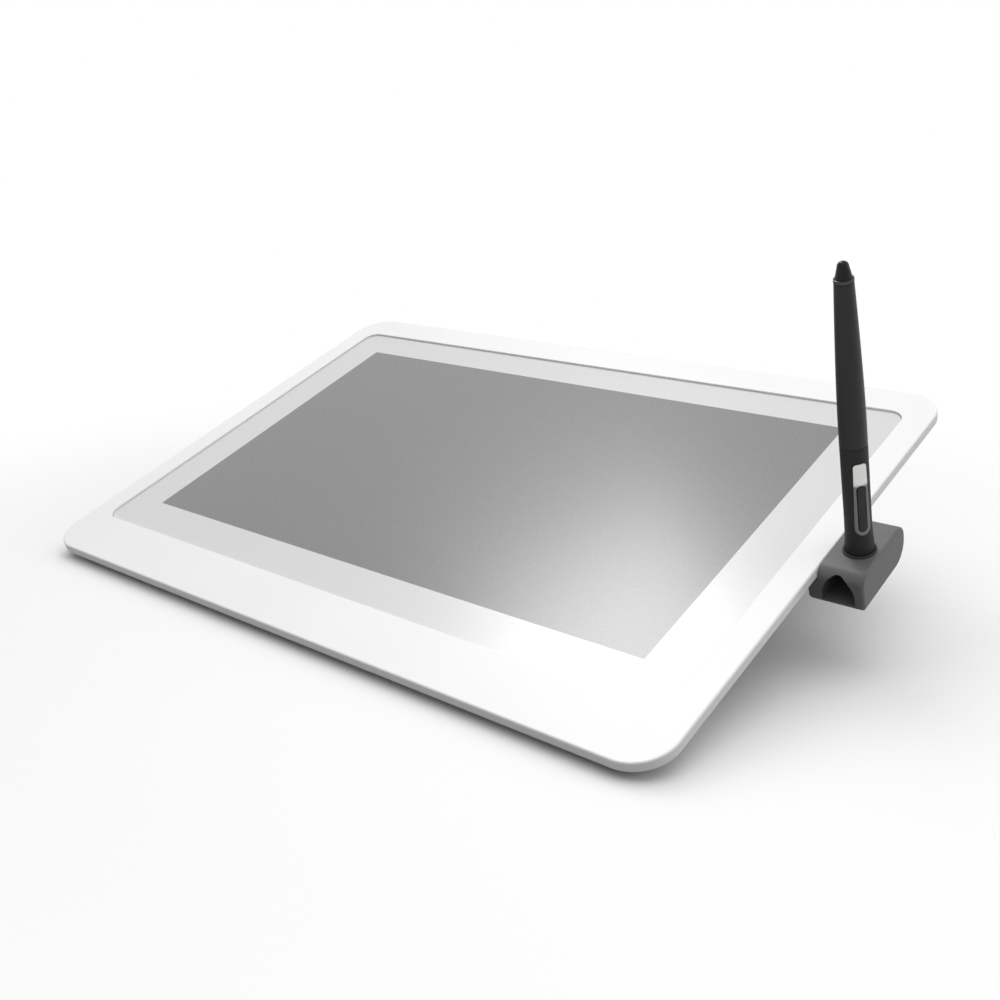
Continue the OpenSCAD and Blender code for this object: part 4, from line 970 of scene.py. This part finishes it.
def ventSlot(number):
    x = (number - (vents["count"] - 1) / 2) * vents["pitch"]
    half = Vector((vents["width"] / 2, vents["length"] / 2))
    spot = Vector((x, vents["place"]))
    return slab(
        "vent", (*(spot - half), shellLow.z - cut), (*(spot + half), shellLow.z + shell["wall"] + cut),
        half.x - hair, steps=6
    )


def makeRearCover():
    piece = combine(shellOutside(), "DIFFERENCE", shellInside(), *shellCuts())
    openings = [pocketOf("left"), pocketOf("right"), portBox()]

    def onOpening(a, b):
        return liesAt("z", shellLow.z)(a, b) and any(
            all(low.x - hair < p.x < high.x + hair and low.y - hair < p.y < high.y + hair for p in (a, b))
            for low, high in openings
        )

    soften(piece, onOpening, shell["rimEdge"], steps=2)
    return piece


settle(makeRearCover(), tabletAxes, "tablet", "cover_plastic", "rear_cover")


# Legs, drawn open: round at the hinge, with a sunk panel and a nail groove behind

leg = {
    "edge": 0.8, "panelIn": 8, "panelDeep": 1, "panelCorner": 4, "panelEdge": 0.3,
    "nailRadius": 3, "nailLength": 26,
    "nailDeep": 1.6, "nailEnd": 6, "bore": 2.05, "slotWidth": 3.1, "slotDeep": 4.05, "slotIn": 4.95,
}
pad = {"edge": 0.6, "rib": 3, "ribDeep": 4, "ribIn": 5, "grooves": 7, "grooveWidth": 1.4, "grooveDeep": 0.7}


def makeLeg(side):
    low, high = legBox[side]
    hinge = middle(pinBox[side])
    thick = high.y - low.y
    piece = block(side + "Leg", low, high)
    soften(piece, lambda a, b: runsAlong("x")(a, b) and abs(a.z - high.z) < hair, thick / 2 - hair, steps=10)
    soften(piece, liesAt("x", low.x, high.x), leg["edge"], steps=4)
    sunk = block(
        "sunk", (low.x + leg["panelIn"], high.y - leg["panelDeep"], low.z + thick + leg["panelIn"]),
        (high.x - leg["panelIn"], high.y + cut, high.z - thick - leg["panelIn"] / 2)
    )
    soften(sunk, runsAlong("y"), leg["panelCorner"], steps=8)
    nailBack = high.y + leg["nailRadius"] - leg["nailDeep"]
    nail = rod(
        "nail", (hinge.x - leg["nailLength"] / 2, nailBack, low.z + leg["nailEnd"]),
        (hinge.x + leg["nailLength"] / 2, nailBack, low.z + leg["nailEnd"]),
        leg["nailRadius"]
    )
    bore = rod(
        "bore", (low.x - cut, hinge.y, hinge.z), (high.x + cut, hinge.y, hinge.z), leg["bore"], sides=32
    )
    slit = block(
        "slit", (low.x + leg["slotIn"], hinge.y - leg["slotWidth"] / 2, low.z - cut),
        (high.x - leg["slotIn"], hinge.y + leg["slotWidth"] / 2, low.z + leg["slotDeep"])
    )
    combine(piece, "DIFFERENCE", sunk, nail, bore, slit)

    def onPanel(a, b):
        onSide = liesAt("x", low.x + leg["edge"], high.x - leg["edge"])(a, b)
        return liesAt("y", high.y)(a, b) and not onSide and all(
            low.x + hair < p.x < high.x - hair and low.z + hair < p.z < high.z - thick for p in (a, b)
        )

    soften(piece, onPanel, leg["panelEdge"], steps=2)
    return piece


def makeLegPad(side):
    low, high = padBox[side]
    legLow = legBox[side][0]
    slant = (high.y - low.y) * math.tan(tilt)
    piece = block(side + "LegPad", low, (high.x, high.y, legLow.z))
    pickPoints(piece, lambda p: abs(p.z - low.z) < hair and abs(p.y - low.y) < hair)
    bpy.ops.transform.translate(value=(0, 0, slant))
    endEdit()
    grooves = []
    for number in range(pad["grooves"]):
        x = low.x + (high.x - low.x) * (number + 1) / (pad["grooves"] + 1)
        groove = block(
            "groove", (x - pad["grooveWidth"] / 2, low.y - cut, low.z - 2 * cut),
            (x + pad["grooveWidth"] / 2, high.y + cut, low.z + pad["grooveDeep"])
        )
        pickPoints(groove, lambda p: p.y < low.y)
        bpy.ops.transform.translate(value=(0, 0, slant + 2 * cut * math.tan(tilt)))
        endEdit()
        grooves.append(groove)
    soften(piece, lambda a, b: not liesAt("z", legLow.z)(a, b), pad["edge"], steps=3)
    combine(piece, "DIFFERENCE", joined("grooves", grooves))
    mid = (low.y + high.y) / 2
    rib = block(
        "rib", (low.x + pad["ribIn"], mid - pad["rib"] / 2, legLow.z - cut),
        (high.x - pad["ribIn"], mid + pad["rib"] / 2, legLow.z + pad["ribDeep"])
    )
    return combine(piece, "UNION", rib)


for side in bothSides:
    settle(makeLeg(side), tabletAxes, side + "_leg", "cover_plastic", side + "_leg")
    settle(makeLegPad(side), tabletAxes, side + "_leg", "foot_rubber", side + "_leg_pad")


# Rubber feet: two strips on the desk, and four round feet for lying flat

feet = {"stripEdge": 0.9, "dish": 1.6, "dishDeep": 0.4, "dishFloor": 0.3, "edge": 0.7}


def makeFrontStrips():
    strips = []
    for spot in stripSpots:
        strip = stripShape("strip", spot, 0, 0)
        soften(strip, liesAt("z", spot[0].z), feet["stripEdge"], steps=4)
        strips.append(strip)
    return joined("frontStrips", strips)


def makeBackFeet():
    made = []
    for low, high in footSpots:
        radius, height = (high.x - low.x) / 2, high.z - low.z
        bend, deep = feet["edge"], feet["dishDeep"]
        edge = arcPoints(radius - bend, bend, bend, bend, (-90, -67.5, -45, -22.5, 0))
        dish = [(radius * feet["dishFloor"], deep), (radius - feet["dish"] - deep, deep)]
        foot = turned("foot", dish + [(radius - feet["dish"], 0)] + edge + [(radius, height)])
        made.append(copied(foot, "foot", (*middle((low, high)).xy, low.z)))
        bpy.data.objects.remove(foot)
    return joined("backFeet", made)


settle(makeFrontStrips(), deskAxes, "tablet", "foot_rubber", "front_strips")
settle(makeBackFeet(), tabletAxes, "tablet", "foot_rubber", "back_feet")


# Pen: the radius at a distance from its point, as the solids have it

pen = {
    "noseStart": 2.2, "gripPlace": 24, "barrelPlace": 38, "taperPlace": 84, "taperCurve": 1.5,
    "noseWidth": 3.4, "gripWidth": 13, "barrelWidth": 11.8, "tailWidth": 8, "step": 2, "edge": 0.2,
    "gripWall": 1.4, "barrelWall": 1.1, "nibRadius": 0.8, "nibGap": 0.1,
}
noseEnd = measured("pen_nose", penAxes)[1].z
gripEnd = measured("pen_grip", penAxes)[1].z
tailPlace = measured("pen_barrel", penAxes)[1].z
penToTablet = tabletAxes.inverted() @ penAxes


def penRadius(s):
    nose, grip = pen["noseWidth"] / 2, pen["gripWidth"] / 2
    barrel, tail = pen["barrelWidth"] / 2, pen["tailWidth"] / 2
    if s < pen["gripPlace"]:
        share = (s - pen["noseStart"]) / (pen["gripPlace"] - pen["noseStart"])
        return nose + (grip - nose) * math.sin(math.pi / 2 * share)
    if s < pen["barrelPlace"]:
        share = (pen["barrelPlace"] - s) / (pen["barrelPlace"] - pen["gripPlace"])
        return barrel + (grip - barrel) * share ** 2
    share = max(0, s - pen["taperPlace"]) / (tailPlace - pen["taperPlace"])
    return barrel - (barrel - tail) * share ** pen["taperCurve"]


def penLine(start, end, offset=0):
    count = max(1, math.ceil(abs(end - start) / pen["step"]))
    places = [start + (end - start) * i / count for i in range(count + 1)]
    return [(penRadius(s) + offset, s) for s in places]


def penShell(name, start, end, outer, inner, edge):
    skin = penLine(start + edge, end - edge, outer)
    bore = penLine(end, start, inner)
    ends = [(penRadius(start) + outer - edge, start)], [(penRadius(end) + outer - edge, end)]
    return turned(name, ends[0] + skin + ends[1] + bore + ends[0])


def makePenNose():
    edge, least = pen["edge"], pen["nibRadius"] + pen["nibGap"]
    skin = penLine(pen["noseStart"] + edge, noseEnd)
    bore = [(max(least, radius - pen["gripWall"]), s) for radius, s in penLine(noseEnd, pen["noseStart"])]
    first = [(penRadius(pen["noseStart"]) - edge, pen["noseStart"])]
    return turned("penNose", first + skin + bore + first)


# Side switch: a bezel with a land above the rocker, and the rocker with its saddle

switch = {
    "start": 33, "length": 36, "width": 7.2, "taper": 1.6, "topCorner": 1.5,
    "proud": 0.25, "thick": 1.2, "gap": 0.05,
    "rockerStart": 2, "rockerLength": 23, "rockerWidth": 3.6, "rockerProud": 0.55, "rockerThick": 1.9,
    "rockerGap": 0.3, "dip": 0.35, "dipRadius": 60, "fulcrum": 0.6, "reach": 15,
}


def bezelPrism(grow):
    half, start, end = switch["width"] / 2, switch["start"], switch["start"] + switch["length"]
    piece = block("bezelPrism", (-half - grow, -switch["reach"], start - grow), (half + grow, 0, end + grow))
    pickPoints(piece, lambda p: abs(p.z - end - grow) < hair)
    narrow = (half - switch["taper"] / 2 + grow) / (half + grow)
    bpy.ops.transform.resize(value=(narrow, 1, 1), center_override=(0, 0, 0))
    endEdit()
    topCorner, lowCorner = switch["topCorner"] + grow, half + grow - 10 * hair
    soften(piece, lambda a, b: runsAlong("y")(a, b) and a.z > start + half, topCorner, steps=8)
    soften(piece, lambda a, b: runsAlong("y")(a, b) and a.z < start + half, lowCorner, steps=16)
    return piece


def rockerPrism(grow):
    half, start = switch["rockerWidth"] / 2 + grow, switch["start"] + switch["rockerStart"]
    end = start + switch["rockerLength"]
    piece = block("rockerPrism", (-half, -switch["reach"], start - grow), (half, 0, end + grow))
    soften(piece, runsAlong("y"), half - hair, steps=12)
    return piece


def switchRing(name, outer, inner):
    start, end = switch["start"] - cut, switch["start"] + switch["length"] + cut
    return penShell(name, start, end, outer, inner, pen["edge"])


def makePenGrip():
    piece = penShell("penGrip", noseEnd, gripEnd, 0, -pen["gripWall"], pen["edge"])
    return combine(piece, "DIFFERENCE", bezelPrism(switch["gap"]))


def makePenBarrel():
    return penShell("penBarrel", gripEnd, tailPlace, 0, -pen["barrelWall"], pen["edge"])


def makeSwitchBezel():
    piece = switchRing("switchBezel", switch["proud"], switch["proud"] - switch["thick"])
    combine(piece, "INTERSECT", bezelPrism(0))
    combine(piece, "DIFFERENCE", rockerPrism(switch["rockerGap"]))
    return piece


def makeRocker():
    piece = switchRing("switchRocker", switch["rockerProud"], -switch["rockerThick"])
    combine(piece, "INTERSECT", rockerPrism(0))
    mid = switch["start"] + switch["rockerStart"] + switch["rockerLength"] / 2
    deep = switch["dip"] - penRadius(mid) - switch["rockerProud"] - switch["dipRadius"]
    wide = switch["rockerWidth"]
    saddle = rod("saddle", (-wide, deep, mid), (wide, deep, mid), switch["dipRadius"], sides=720)
    end, under = wide / 2 - switch["rockerGap"], switch["rockerThick"] - penRadius(mid)
    fulcrum = rod("fulcrum", (-end, under, mid), (end, under, mid), switch["fulcrum"], sides=24)
    combine(piece, "DIFFERENCE", saddle)
    return combine(piece, "UNION", fulcrum)


settle(makePenNose(), penAxes, "pen", "pen_plastic", "pen_nose")
settle(makePenGrip(), penAxes, "pen", "pen_rubber", "pen_grip")
settle(makePenBarrel(), penAxes, "pen", "pen_plastic", "pen_barrel")
settle(makeSwitchBezel(), penAxes, "pen", "pen_silver", "pen_switch_bezel")
settle(makeRocker(), penAxes, "rocker", "pen_plastic", "pen_rocker")


# Tail ring, eraser and nib

tail = {
    "ringEdge": 0.2, "eraserWidth": 7, "tipWidth": 4.7, "dome": 2, "stemWidth": 2.4,
    "gap": 0.1, "travel": 0.7, "nibPoint": 0.35, "nibTaper": 1.6,
}
ringLow, ringHigh = measured("pen_tail_ring", penAxes)
eraserLow, eraserHigh = measured("pen_eraser", penAxes)
nibEnd = measured("pen_nib", penAxes)[1].z


def makeTailRing():
    outer, inner, edge = (ringHigh.x - ringLow.x) / 2, tail["eraserWidth"] / 2 + tail["gap"], tail["ringEdge"]
    top, bottom = ringHigh.z, ringLow.z
    return turned("penTailRing", [
        (inner, bottom), (outer - edge, bottom), (outer, bottom + edge), (outer, top - edge),
        (outer - edge / 3, top - edge / 3), (outer - edge, top), (inner, top), (inner, bottom)
    ])


def makeEraser():
    wide, tip, stem = tail["eraserWidth"] / 2, tail["tipWidth"] / 2, tail["stemWidth"] / 2
    shoulder = ringLow.z + tail["travel"]
    domeBase = eraserHigh.z - tail["dome"]
    dome = arcPoints(0, domeBase, tip, tail["dome"], range(0, 85, 12))
    return turned("penEraser", [
        (stem, eraserLow.z), (stem, shoulder), (wide, shoulder), (wide, ringHigh.z)
    ] + dome)


def makeNib():
    radius, point, taper = pen["nibRadius"], tail["nibPoint"], tail["nibTaper"]
    tip = arcPoints(0, point, point, point, (-70, -45, -20, 0))
    return turned("penNib", tip + [(radius, taper), (radius, nibEnd)], sides=32)


settle(makeTailRing(), penAxes, "pen", "pen_silver", "pen_tail_ring")
settle(makeEraser(), penAxes, "eraser", "eraser_plastic", "pen_eraser")
settle(makeNib(), penAxes, "nib", "nib_plastic", "pen_nib")


# Pen holder: arched tunnel, hole in the roof, and a tongue that plugs into the tablet

holder = {
    "nose": 6, "tail": 5, "heel": 11, "sole": 1.5, "side": 1.6, "foot": 2,
    "rimGap": 0.3, "rimClear": 1, "underRim": 9, "tunnelWidth": 15.6, "tunnelIn": 9.6,
    "tunnelRoof": 1.3, "tunnelFloor": 1.7, "tunnelBack": 8, "archRise": 12, "archTip": 4,
    "sink": 21.5, "seatDeep": 4, "seatUp": 0.8, "seatEdge": 0.4, "seatWall": 0.75, "slip": 0.3,
    "seatStep": 0.5, "cup": 6.6, "cupRim": 7.2, "cupRimThick": 1.5, "cupGap": 0.4, "fit": 0.05,
    "tongueCorner": 1.5, "tongueEdge": 0.4, "tongueHole": 2, "tongueHoleIn": 5,
}
holderLow, holderHigh = measured("holder_body", tabletAxes)
cupLow, cupHigh = measured("nib_cup", tabletAxes)
seatRadius = penRadius(holder["sink"]) + holder["slip"] + holder["seatWall"]
floorLevel = holderLow.z + holder["tunnelFloor"]


def alongPen(s):
    return penToTablet @ Vector((0, 0, s))


def tunnelShape():
    half, rise = holder["tunnelWidth"] / 2, holder["archRise"]
    x, spring = rimHigh.x + holder["tunnelIn"], -holder["tunnelRoof"] - rise
    front, back = holderLow.y - cut, holderHigh.y - holder["tunnelBack"]
    bend = (half * half + rise * rise) / (2 * half)
    piece = block("tunnel", (x - half, front, floorLevel), (x + half, back, cut))
    for side in (-1, 1):
        centre = x + side * (half - bend)
        arch = rod("arch", (centre, front - cut, spring), (centre, back + cut, spring), bend, sides=128)
        straight = block(
            "straight", (centre - bend, front - cut, floorLevel - cut), (centre + bend, back + cut, spring)
        )
        combine(piece, "INTERSECT", combine(arch, "UNION", straight))
    tip, offset = holder["archTip"], bend - half
    tipMid = spring + math.sqrt((bend - tip) ** 2 - offset ** 2)
    tipStart = spring + (tipMid - spring) * bend / (bend - tip)
    crown = rod("crown", (x, front - cut, tipMid), (x, back + cut, tipMid), tip, sides=64)
    below = block(
        "below", (x - half - cut, front - cut, floorLevel - cut), (x + half + cut, back + cut, tipStart)
    )
    combine(piece, "INTERSECT", combine(crown, "UNION", below))
    return piece


def footShape():
    reach = holder["foot"]
    piece = block(
        "footShape", (holderLow.x - cut, holderLow.y - cut, holderLow.z - cut),
        (holderLow.x + reach, holderHigh.y + cut, holderLow.z + reach)
    )
    pickEdges(piece, lambda a, b: runsAlong("y")(a, b) and a.x > holderLow.x and a.z > holderLow.z)
    bpy.ops.mesh.bevel(offset=reach, segments=1, affect="EDGES")
    endEdit()
    return piece


def underRimShape():
    side = rimHigh.x + holder["rimGap"]
    piece = block(
        "underRim", (holderLow.x - cut, holderLow.y - cut, rimUnder - holder["rimClear"]),
        (side, holderHigh.y + cut, cut)
    )
    fall = (holder["underRim"] + rimUnder - holder["rimClear"]) / (side - holderLow.x)
    pickPoints(piece, lambda p: p.x < holderLow.x and p.z < 0)
    bpy.ops.transform.translate(value=(0, 0, -fall * (side - holderLow.x + cut)))
    endEdit()
    return piece


def makeHolder():
    low, high = holderLow, holderHigh
    piece = block("penHolder", low, high)
    rounds = (
        (low.y, high.z, "nose", 8), (high.y, high.z, "tail", 8),
        (high.y, low.z, "heel", 14), (low.y, low.z, "sole", 6)
    )
    for y, z, key, steps in rounds:
        soften(
            piece, lambda a, b: runsAlong("x")(a, b) and abs(a.y - y) < hair and abs(a.z - z) < hair,
            holder[key], steps
        )
    soften(piece, liesAt("x", high.x), holder["side"], steps=6)
    combine(piece, "DIFFERENCE", underRimShape(), footShape(), tunnelShape())
    sink, deep, fit = holder["sink"], holder["seatDeep"], holder["fit"]
    tip = middle((cupLow, cupHigh))
    tongueSlot = slab(
        "tongueSlot", (*grown(tongueLow, -fit), tongueLow.z - fit),
        (*grown(tongueHigh, fit), tongueHigh.z + fit), holder["tongueCorner"], steps=6
    )
    seatHole = rod("seatHole", alongPen(sink - deep), alongPen(sink + deep), seatRadius + fit, sides=64)
    noseHole = rod(
        "noseHole", alongPen(sink + floorLevel), alongPen(sink), seatRadius - holder["seatStep"], sides=64
    )
    cupHole = rod(
        "cupHole", (*tip.xy, low.z - cut), (*tip.xy, floorLevel + cut), holder["cup"] + fit, sides=48
    )
    return combine(piece, "DIFFERENCE", seatHole, noseHole, cupHole, tongueSlot)


def makeTongue():
    piece = slab("holderTongue", tongueLow, tongueHigh, holder["tongueCorner"], steps=6)
    soften(piece, liesAt("z", tongueLow.z, tongueHigh.z), holder["tongueEdge"], steps=3)
    x, y = tongueLow.x + holder["tongueHoleIn"], (tongueLow.y + tongueHigh.y) / 2
    hole = rod("hole", (x, y, tongueLow.z - cut), (x, y, tongueHigh.z + cut), holder["tongueHole"], sides=32)
    return combine(piece, "DIFFERENCE", hole)


def makeSeat():
    low, high = holder["sink"] - holder["seatDeep"], holder["sink"] + holder["seatUp"]
    edge = holder["seatEdge"]
    bore = penLine(high, low, holder["slip"])
    rimArc = arcPoints(seatRadius - edge, high - edge, edge, edge, (0, 30, 60, 90))
    return turned("penSeat", [(seatRadius, low)] + rimArc + bore + [(seatRadius, low)])


def makeCup():
    tip = middle((cupLow, cupHigh))
    wide, lip, rimTop = holder["cup"], holder["cupRim"], floorLevel + holder["cupRimThick"]
    edge = holder["seatEdge"]
    cup = turned("cup", [
        (wide - edge, cupLow.z), (wide, cupLow.z + edge), (wide, floorLevel), (lip, floorLevel),
        (lip, rimTop - edge), (lip - edge, rimTop)
    ], sides=48)
    piece = copied(cup, "nibCup", (*tip.xy, 0))
    bpy.data.objects.remove(cup)
    gap = holder["cupGap"]
    top = holder["sink"] + rimTop + cut
    point = [(pen["noseWidth"] / 2 + gap, -gap)]
    bore = turned("bore", point + penLine(pen["noseStart"], top, gap), sides=48)
    place(bore, penToTablet)
    return combine(piece, "DIFFERENCE", bore)


settle(makeHolder(), tabletAxes, "holder", "holder_plastic", "holder_body")
settle(makeTongue(), tabletAxes, "holder", "holder_plastic", "holder_tongue")
settle(makeSeat(), penAxes, "holder", "seat_rubber", "pen_seat")
settle(makeCup(), tabletAxes, "holder", "holder_plastic", "nib_cup")


# Studio: a pale floor that fades to white, a soft sky, panels above, a softbox behind and a side fill

studio = {
    "floorSize": 8, "floorDrop": 0.0004, "floorSeen": "F7F7F7", "floorBounce": "979797",
    "fadeStart": 0.26, "fadeEnd": 0.52, "brightSide": (-0.05, 0.1, 0.99), "skyLow": 0.16, "skyHigh": 1.02,
}
lamps = {
    "glareBox": {
        "toward": (-0.51, 0.345, 0.789), "aim": (246, -206, 0), "distance": 1.3, "size": 0.34, "power": 5,
        "spreads": False, "shines": True
    },
    "rightPanel": {
        "toward": (0.2, -0.1, 1), "aim": (200, -60, 0), "distance": 0.6, "size": 0.5, "power": 0.9,
        "spreads": True, "shines": False
    },
    "keyPanel": {
        "toward": (-0.5, 0.3, 0.81), "aim": (0, 0, 0), "distance": 1.5, "size": 1, "power": 4,
        "spreads": True, "shines": False
    },
    "sideFill": {
        "toward": (0.8, 0.45, 0.4), "aim": (222, 10, 60), "distance": 1.2, "size": 0.4, "power": 1.4,
        "spreads": True, "shines": True
    },
}


def seenRays(tree):
    # one where the camera, a mirror or clear glass looks, and zero where light is gathered
    rays = addNode(tree, "ShaderNodeLightPath")
    first = addNode(tree, "ShaderNodeMath", {
        0: rays.outputs["Is Camera Ray"], 1: rays.outputs["Is Glossy Ray"]
    }, operation="MAXIMUM")
    both = addNode(tree, "ShaderNodeMath", {
        0: first.outputs["Value"], 1: rays.outputs["Is Transmission Ray"]
    }, operation="MAXIMUM")
    return both.outputs["Value"]


def floorPaint():
    # Matt backdrop paper: pale where it is seen, greyer in the light it throws back, white far away.
    material, tree, place = startMaterial("backdropPaper")
    seen = seenRays(tree)
    away = addNode(tree, "ShaderNodeVectorMath", {0: place}, operation="LENGTH")
    far = addNode(tree, "ShaderNodeMapRange", {
        "Value": away.outputs["Value"], "From Min": studio["fadeStart"], "From Max": studio["fadeEnd"]
    }, interpolation_type="SMOOTHSTEP")
    tone = addNode(tree, "ShaderNodeMix", {
        "Factor": seen, "A": hexColour(studio["floorBounce"]), "B": hexColour(studio["floorSeen"])
    }, data_type="RGBA")
    paper = addNode(tree, "ShaderNodeBsdfDiffuse", {"Color": result(tone)})
    white = addNode(tree, "ShaderNodeEmission", {"Strength": 1})
    fade = addNode(tree, "ShaderNodeMath", {0: far.outputs["Result"], 1: seen}, operation="MULTIPLY")
    mix = addNode(tree, "ShaderNodeMixShader", {
        0: fade.outputs["Value"], 1: paper.outputs["BSDF"], 2: white.outputs["Emission"]
    })
    return endMaterial(material, mix.outputs["Shader"])


def makeFloor():
    bpy.ops.object.select_all(action="DESELECT")
    bpy.ops.mesh.primitive_plane_add(size=studio["floorSize"], location=(0, 0, -studio["floorDrop"]))
    floor = named("floor")
    floor.data.materials.append(floorPaint())


def makeSky():
    world = bpy.data.worlds.new("studioSky")
    bpy.context.scene.world = world
    world.use_nodes = True
    tree = world.node_tree
    tree.nodes.clear()
    place = addNode(tree, "ShaderNodeTexCoord").outputs["Generated"]
    facing = addNode(tree, "ShaderNodeVectorMath", {
        0: place, 1: Vector(studio["brightSide"]).normalized()
    }, operation="DOT_PRODUCT")
    level = addNode(tree, "ShaderNodeMapRange", {
        "Value": facing.outputs["Value"], "To Min": studio["skyLow"], "To Max": studio["skyHigh"]
    }, interpolation_type="SMOOTHSTEP")
    strength = addNode(tree, "ShaderNodeMix", {
        "Factor": seenRays(tree), "A": level.outputs["Result"], "B": 1
    })
    sky = addNode(tree, "ShaderNodeBackground", {"Strength": result(strength)})
    sky.inputs["Color"].default_value = hexColour("FFFFFF")
    addNode(tree, "ShaderNodeOutputWorld", {"Surface": sky.outputs["Background"]})


def makeLamps():
    for name, lamp in lamps.items():
        toward = Vector(lamp["toward"]).normalized()
        aim = tabletAxes @ Vector(lamp["aim"])
        turn = toward.to_track_quat("Z", "Y").to_euler()
        bpy.ops.object.light_add(type="AREA", location=aim + toward * lamp["distance"], rotation=turn)
        light = bpy.context.object
        light.name = name
        light.data.size = lamp["size"]
        light.data.energy = lamp["power"]
        light.visible_diffuse = lamp["spreads"]
        light.visible_glossy = lamp["shines"]


camera = {
    "lens": 42.88, "tiltDown": 17.22, "turn": 40.05, "place": (0.41035, -0.47767, 0.23865),
    "nearest": 0.01,
}


def makeCamera():
    turn = (math.radians(90 - camera["tiltDown"]), 0, math.radians(camera["turn"]))
    bpy.ops.object.camera_add(location=camera["place"], rotation=turn)
    view = bpy.context.object
    view.data.lens = camera["lens"]
    view.data.clip_start = camera["nearest"]
    bpy.context.scene.camera = view


makeFloor()
makeSky()
makeLamps()
makeCamera()
bpy.context.scene.view_settings.view_transform = "Standard"
print("studio made:", len(lamps), "lamps")
